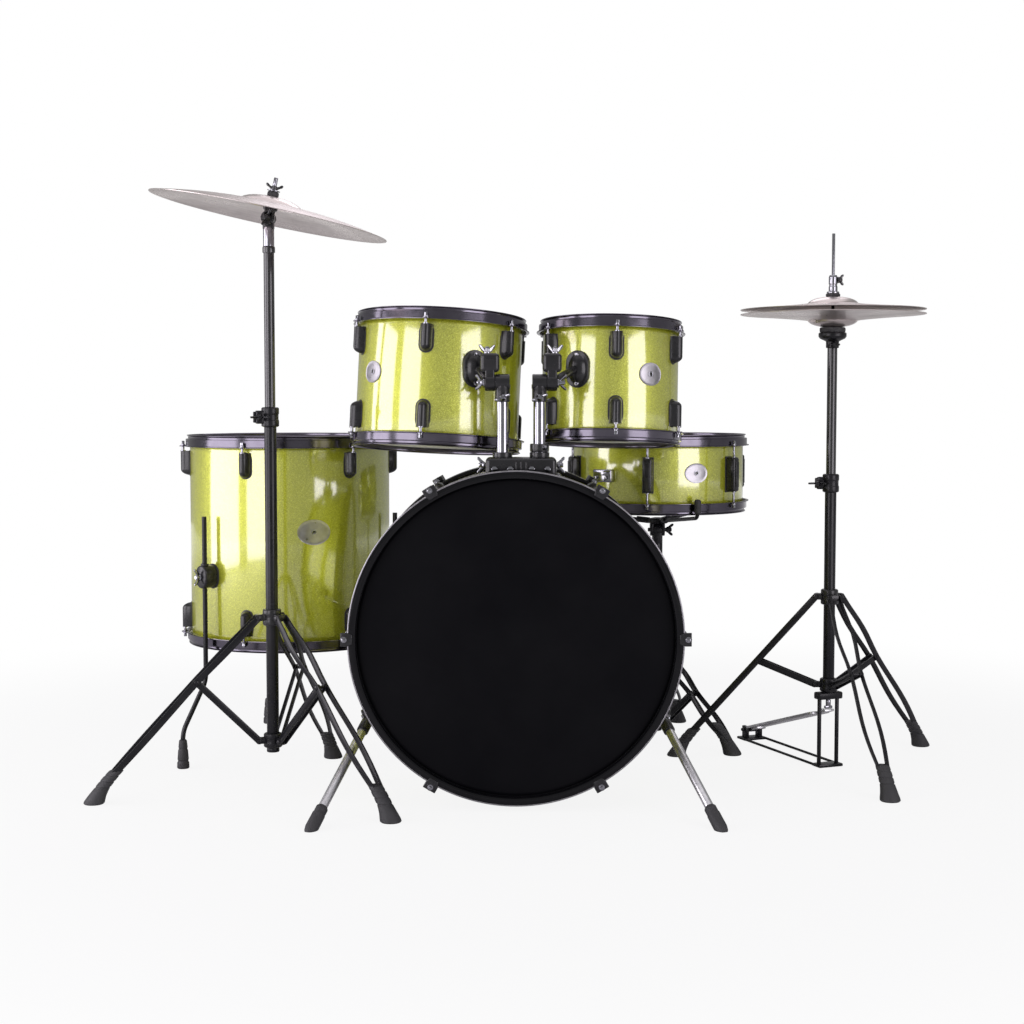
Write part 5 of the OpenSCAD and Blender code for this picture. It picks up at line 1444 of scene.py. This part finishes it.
def make_floor(look):
    """Pale floor that keeps a faint shadow. Metal and lacquer see it turn white far off."""
    bare()
    bpy.ops.mesh.primitive_plane_add(size=FLOOR_SIZE, location=(MIDDLE_X, FLOOR_Y, FLOOR_Z))
    floor = placed()
    floor.name = "Floor"
    material = bpy.data.materials.new("Floor")
    tree = emptied(material)
    paper = node(tree, "BsdfDiffuse", {"Color": (0.62, 0.62, 0.63, 1)})
    white = node(tree, "Emission", {"Color": (1, 1, 1, 1), "Strength": 1.0})
    place = node(tree, "TexCoord").outputs["Object"]
    reach = maths(tree, "LENGTH", place, kind="VectorMath")
    near = ranged(tree, reach, 1.0, 2.2, look.floor_white, 1.0, interpolation_type="SMOOTHSTEP")
    far = ranged(tree, reach, 2.2, 5.5, 0.0, look.mirror_floor, interpolation_type="SMOOTHSTEP")
    path = node(tree, "LightPath").outputs
    share = maths(tree, "MULTIPLY", path["Is Camera Ray"], near)
    mirrored = maths(tree, "MULTIPLY", path["Is Glossy Ray"], far)
    seen = maths(tree, "MAXIMUM", share, mirrored)
    mix = node(tree, "MixShader", {0: seen, 1: paper, 2: white})
    node(tree, "OutputMaterial", {"Surface": mix})
    floor.data.materials.append(material)


def make_sky(look):
    """White to the camera, pale to glossy rays, and an even grey fill to everything else."""
    scene = bpy.context.scene
    scene.world = scene.world or bpy.data.worlds.new("World")
    tree = emptied(scene.world)
    path = node(tree, "LightPath").outputs
    light = ranged(tree, path["Is Camera Ray"], 0.0, 1.0, look.fill_light, 1.0)
    mirror = maths(tree, "MULTIPLY", path["Is Glossy Ray"], look.mirror_light)
    level = maths(tree, "MAXIMUM", light, mirror)
    sky = node(tree, "Background", {"Color": (1, 1, 1, 1), "Strength": level})
    node(tree, "OutputWorld", {"Surface": sky})


def lamp(name, place, target, size, power):
    """Soft box that faces a target."""
    data = bpy.data.lights.new(name, "AREA")
    data.shape = "RECTANGLE"
    data.size, data.size_y = size
    data.energy = power
    data.color = LAMP_TINT
    box = bpy.data.objects.new(name, data)
    bpy.context.scene.collection.objects.link(box)
    box.location = Vector(place) + Vector((MIDDLE_X, MIDDLE_Y, 0))
    way = Vector(target) - Vector(place)
    box.rotation_euler = way.to_track_quat("-Z", "Y").to_euler()


def make_stage(look):
    """Pale floor, soft light and the camera."""
    scene = bpy.context.scene
    scene.view_settings.view_transform = "Standard"
    make_floor(look)
    make_sky(look)
    for each in LAMPS:
        lamp(*each)
    data = bpy.data.cameras.new("Camera")
    data.sensor_width = 36
    data.lens = LENS
    scene.camera = bpy.data.objects.new("Camera", data)
    scene.collection.objects.link(scene.camera)
    scene.camera.location = CAMERA_AT
    scene.camera.rotation_euler = (math.radians(90 - CAMERA_DOWN), 0, 0)


# ---- Settings, operators and panel ----
class DrumKitSizes(bpy.types.PropertyGroup):
    bass_radius: bpy.props.FloatProperty(
        name="Bass radius", description="Radius of the bass shell", default=BASS_R / TO_MM,
        min=0.1, subtype="DISTANCE", unit="LENGTH")
    crash_radius: bpy.props.FloatProperty(
        name="Crash radius", description="Radius of the crash cymbal", default=0.216,
        min=0.1, subtype="DISTANCE", unit="LENGTH")
    hihat_radius: bpy.props.FloatProperty(
        name="Hi-hat radius", description="Radius of both hi-hat cymbals",
        default=half_width("hihat_bottom_cymbal"), min=0.1, subtype="DISTANCE", unit="LENGTH")


class DrumKitLook(bpy.types.PropertyGroup):
    wrap_colour: bpy.props.FloatVectorProperty(
        name="Wrap", description="Colour of the sparkle wrap", size=3, subtype="COLOR",
        default=(0.46, 0.49, 0.015), min=0, max=1)
    fleck_scale: bpy.props.FloatProperty(
        name="Flecks", description="Flecks of foil per metre", default=1250, min=50)
    black: bpy.props.FloatVectorProperty(
        name="Black", description="Colour of the black metal", size=3, subtype="COLOR",
        default=(0.012, 0.012, 0.013), min=0, max=1)
    bronze_colour: bpy.props.FloatVectorProperty(
        name="Bronze", description="Colour of the cymbals", size=3, subtype="COLOR",
        default=(0.85, 0.765, 0.735), min=0, max=1)
    fill_light: bpy.props.FloatProperty(
        name="Fill light", description="Level of the light from all round", default=0.26, min=0)
    mirror_light: bpy.props.FloatProperty(
        name="Mirrored light", description="Level of the surroundings that metal and lacquer show",
        default=0.35, min=0)
    mirror_floor: bpy.props.FloatProperty(
        name="Mirrored floor", description="How white the far floor is to metal and lacquer",
        default=0.85, min=0, max=1, subtype="FACTOR")
    floor_white: bpy.props.FloatProperty(
        name="Floor white", description="How far the floor's shadow fades to the camera",
        default=0.88, min=0, max=1, subtype="FACTOR")


class Step:
    bl_options = {"REGISTER", "UNDO"}


class DRUMKIT_OT_finishes(Step, bpy.types.Operator):
    bl_idname = "drumkit.finishes"
    bl_label = "Finishes"

    def execute(self, context):
        make_finishes(context.scene.drum_kit_look)
        return {"FINISHED"}


class DRUMKIT_OT_stage(Step, bpy.types.Operator):
    """Adds the floor, the lights and the camera"""

    bl_idname = "drumkit.stage"
    bl_label = "Stage"

    def execute(self, context):
        make_stage(context.scene.drum_kit_look)
        return {"FINISHED"}


class DRUMKIT_OT_bass_drum(Step, bpy.types.Operator):
    """Models the bass drum's shell, heads, hoops, lugs and claws"""

    bl_idname = "drumkit.bass_drum"
    bl_label = "Bass drum"

    def execute(self, context):
        make_bass_drum(context.scene.drum_kit_sizes)
        return {"FINISHED"}


class DRUMKIT_OT_tom_mount(Step, bpy.types.Operator):
    """Models the mount block on the bass drum"""

    bl_idname = "drumkit.tom_mount"
    bl_label = "Tom mount"

    def execute(self, context):
        make_tom_mount()
        return {"FINISHED"}


class DRUMKIT_OT_spurs(Step, bpy.types.Operator):
    """Models the bass drum's spurs"""

    bl_idname = "drumkit.spurs"
    bl_label = "Spurs"

    def execute(self, context):
        make_spurs()
        return {"FINISHED"}


class DRUMKIT_OT_low_tom(Step, bpy.types.Operator):
    """Models the low rack tom"""

    bl_idname = "drumkit.low_tom"
    bl_label = "Low tom"

    def execute(self, context):
        make_tom("low_tom")
        return {"FINISHED"}


class DRUMKIT_OT_high_tom(Step, bpy.types.Operator):
    """Models the high rack tom"""

    bl_idname = "drumkit.high_tom"
    bl_label = "High tom"

    def execute(self, context):
        make_tom("high_tom")
        return {"FINISHED"}


class DRUMKIT_OT_tom_posts(Step, bpy.types.Operator):
    """Models the posts and their tilters"""

    bl_idname = "drumkit.tom_posts"
    bl_label = "Tom posts"

    def execute(self, context):
        make_posts()
        return {"FINISHED"}


class DRUMKIT_OT_tom_brackets(Step, bpy.types.Operator):
    """Models the castings on the rack toms"""

    bl_idname = "drumkit.tom_brackets"
    bl_label = "Tom brackets"

    def execute(self, context):
        make_brackets()
        return {"FINISHED"}


class DRUMKIT_OT_floor_tom(Step, bpy.types.Operator):
    """Models the floor tom and its legs"""

    bl_idname = "drumkit.floor_tom"
    bl_label = "Floor tom"

    def execute(self, context):
        make_floor_tom()
        return {"FINISHED"}


class DRUMKIT_OT_snare_drum(Step, bpy.types.Operator):
    """Models the snare drum and its strainer"""

    bl_idname = "drumkit.snare_drum"
    bl_label = "Snare drum"

    def execute(self, context):
        make_snare()
        return {"FINISHED"}


class DRUMKIT_OT_snare_stand(Step, bpy.types.Operator):
    """Models the snare stand and its basket"""

    bl_idname = "drumkit.snare_stand"
    bl_label = "Snare stand"

    def execute(self, context):
        make_snare_stand()
        return {"FINISHED"}


class DRUMKIT_OT_crash_stand(Step, bpy.types.Operator):
    """Models the crash stand"""

    bl_idname = "drumkit.crash_stand"
    bl_label = "Crash stand"

    def execute(self, context):
        make_crash_stand()
        return {"FINISHED"}


class DRUMKIT_OT_crash_tilter(Step, bpy.types.Operator):
    """Models the crash tilter and its post"""

    bl_idname = "drumkit.crash_tilter"
    bl_label = "Crash tilter"

    def execute(self, context):
        make_crash_tilter()
        return {"FINISHED"}


class DRUMKIT_OT_crash_cymbal(Step, bpy.types.Operator):
    """Models the crash cymbal and its felts"""

    bl_idname = "drumkit.crash_cymbal"
    bl_label = "Crash cymbal"

    def execute(self, context):
        make_crash_cymbal(context.scene.drum_kit_sizes)
        return {"FINISHED"}


class DRUMKIT_OT_hihat_stand(Step, bpy.types.Operator):
    """Models the hi-hat stand and its pedal"""

    bl_idname = "drumkit.hihat_stand"
    bl_label = "Hi-hat stand"

    def execute(self, context):
        make_hihat_stand()
        return {"FINISHED"}


class DRUMKIT_OT_hihat_cymbals(Step, bpy.types.Operator):
    """Models the hi-hat cymbals and their clutch"""

    bl_idname = "drumkit.hihat_cymbals"
    bl_label = "Hi-hat cymbals"

    def execute(self, context):
        make_hihat_cymbals(context.scene.drum_kit_sizes)
        return {"FINISHED"}


class DRUMKIT_OT_bass_pedal(Step, bpy.types.Operator):
    """Models the bass pedal and its beater"""

    bl_idname = "drumkit.bass_pedal"
    bl_label = "Bass pedal"

    def execute(self, context):
        make_bass_pedal()
        return {"FINISHED"}


STEPS = [
    DRUMKIT_OT_finishes, DRUMKIT_OT_stage, DRUMKIT_OT_bass_drum, DRUMKIT_OT_tom_mount,
    DRUMKIT_OT_spurs, DRUMKIT_OT_low_tom, DRUMKIT_OT_high_tom, DRUMKIT_OT_tom_posts,
    DRUMKIT_OT_tom_brackets, DRUMKIT_OT_floor_tom, DRUMKIT_OT_snare_drum, DRUMKIT_OT_snare_stand,
    DRUMKIT_OT_crash_stand, DRUMKIT_OT_crash_tilter, DRUMKIT_OT_crash_cymbal,
    DRUMKIT_OT_hihat_stand, DRUMKIT_OT_hihat_cymbals, DRUMKIT_OT_bass_pedal,
]


class DRUMKIT_PT_panel(bpy.types.Panel):
    bl_label = "Drum Kit"
    bl_space_type = "VIEW_3D"
    bl_region_type = "UI"
    bl_category = "Drum Kit"

    def draw(self, context):
        column = self.layout.column()
        for settings in (context.scene.drum_kit_sizes, context.scene.drum_kit_look):
            for name in settings.bl_rna.properties.keys():
                if name not in ("rna_type", "name"):
                    column.prop(settings, name)
        for made in STEPS:
            column.operator(made.bl_idname)


CLASSES = [DrumKitSizes, DrumKitLook, *STEPS, DRUMKIT_PT_panel]


def register():
    for made in CLASSES:
        bpy.utils.register_class(made)
    bpy.types.Scene.drum_kit_sizes = bpy.props.PointerProperty(type=DrumKitSizes)
    bpy.types.Scene.drum_kit_look = bpy.props.PointerProperty(type=DrumKitLook)


def unregister():
    del bpy.types.Scene.drum_kit_look
    del bpy.types.Scene.drum_kit_sizes
    for made in reversed(CLASSES):
        bpy.utils.unregister_class(made)


def main():
    register()
    for made in STEPS:
        group, name = made.bl_idname.split(".")
        getattr(getattr(bpy.ops, group), name)()


if __name__ == "__main__":
    main()
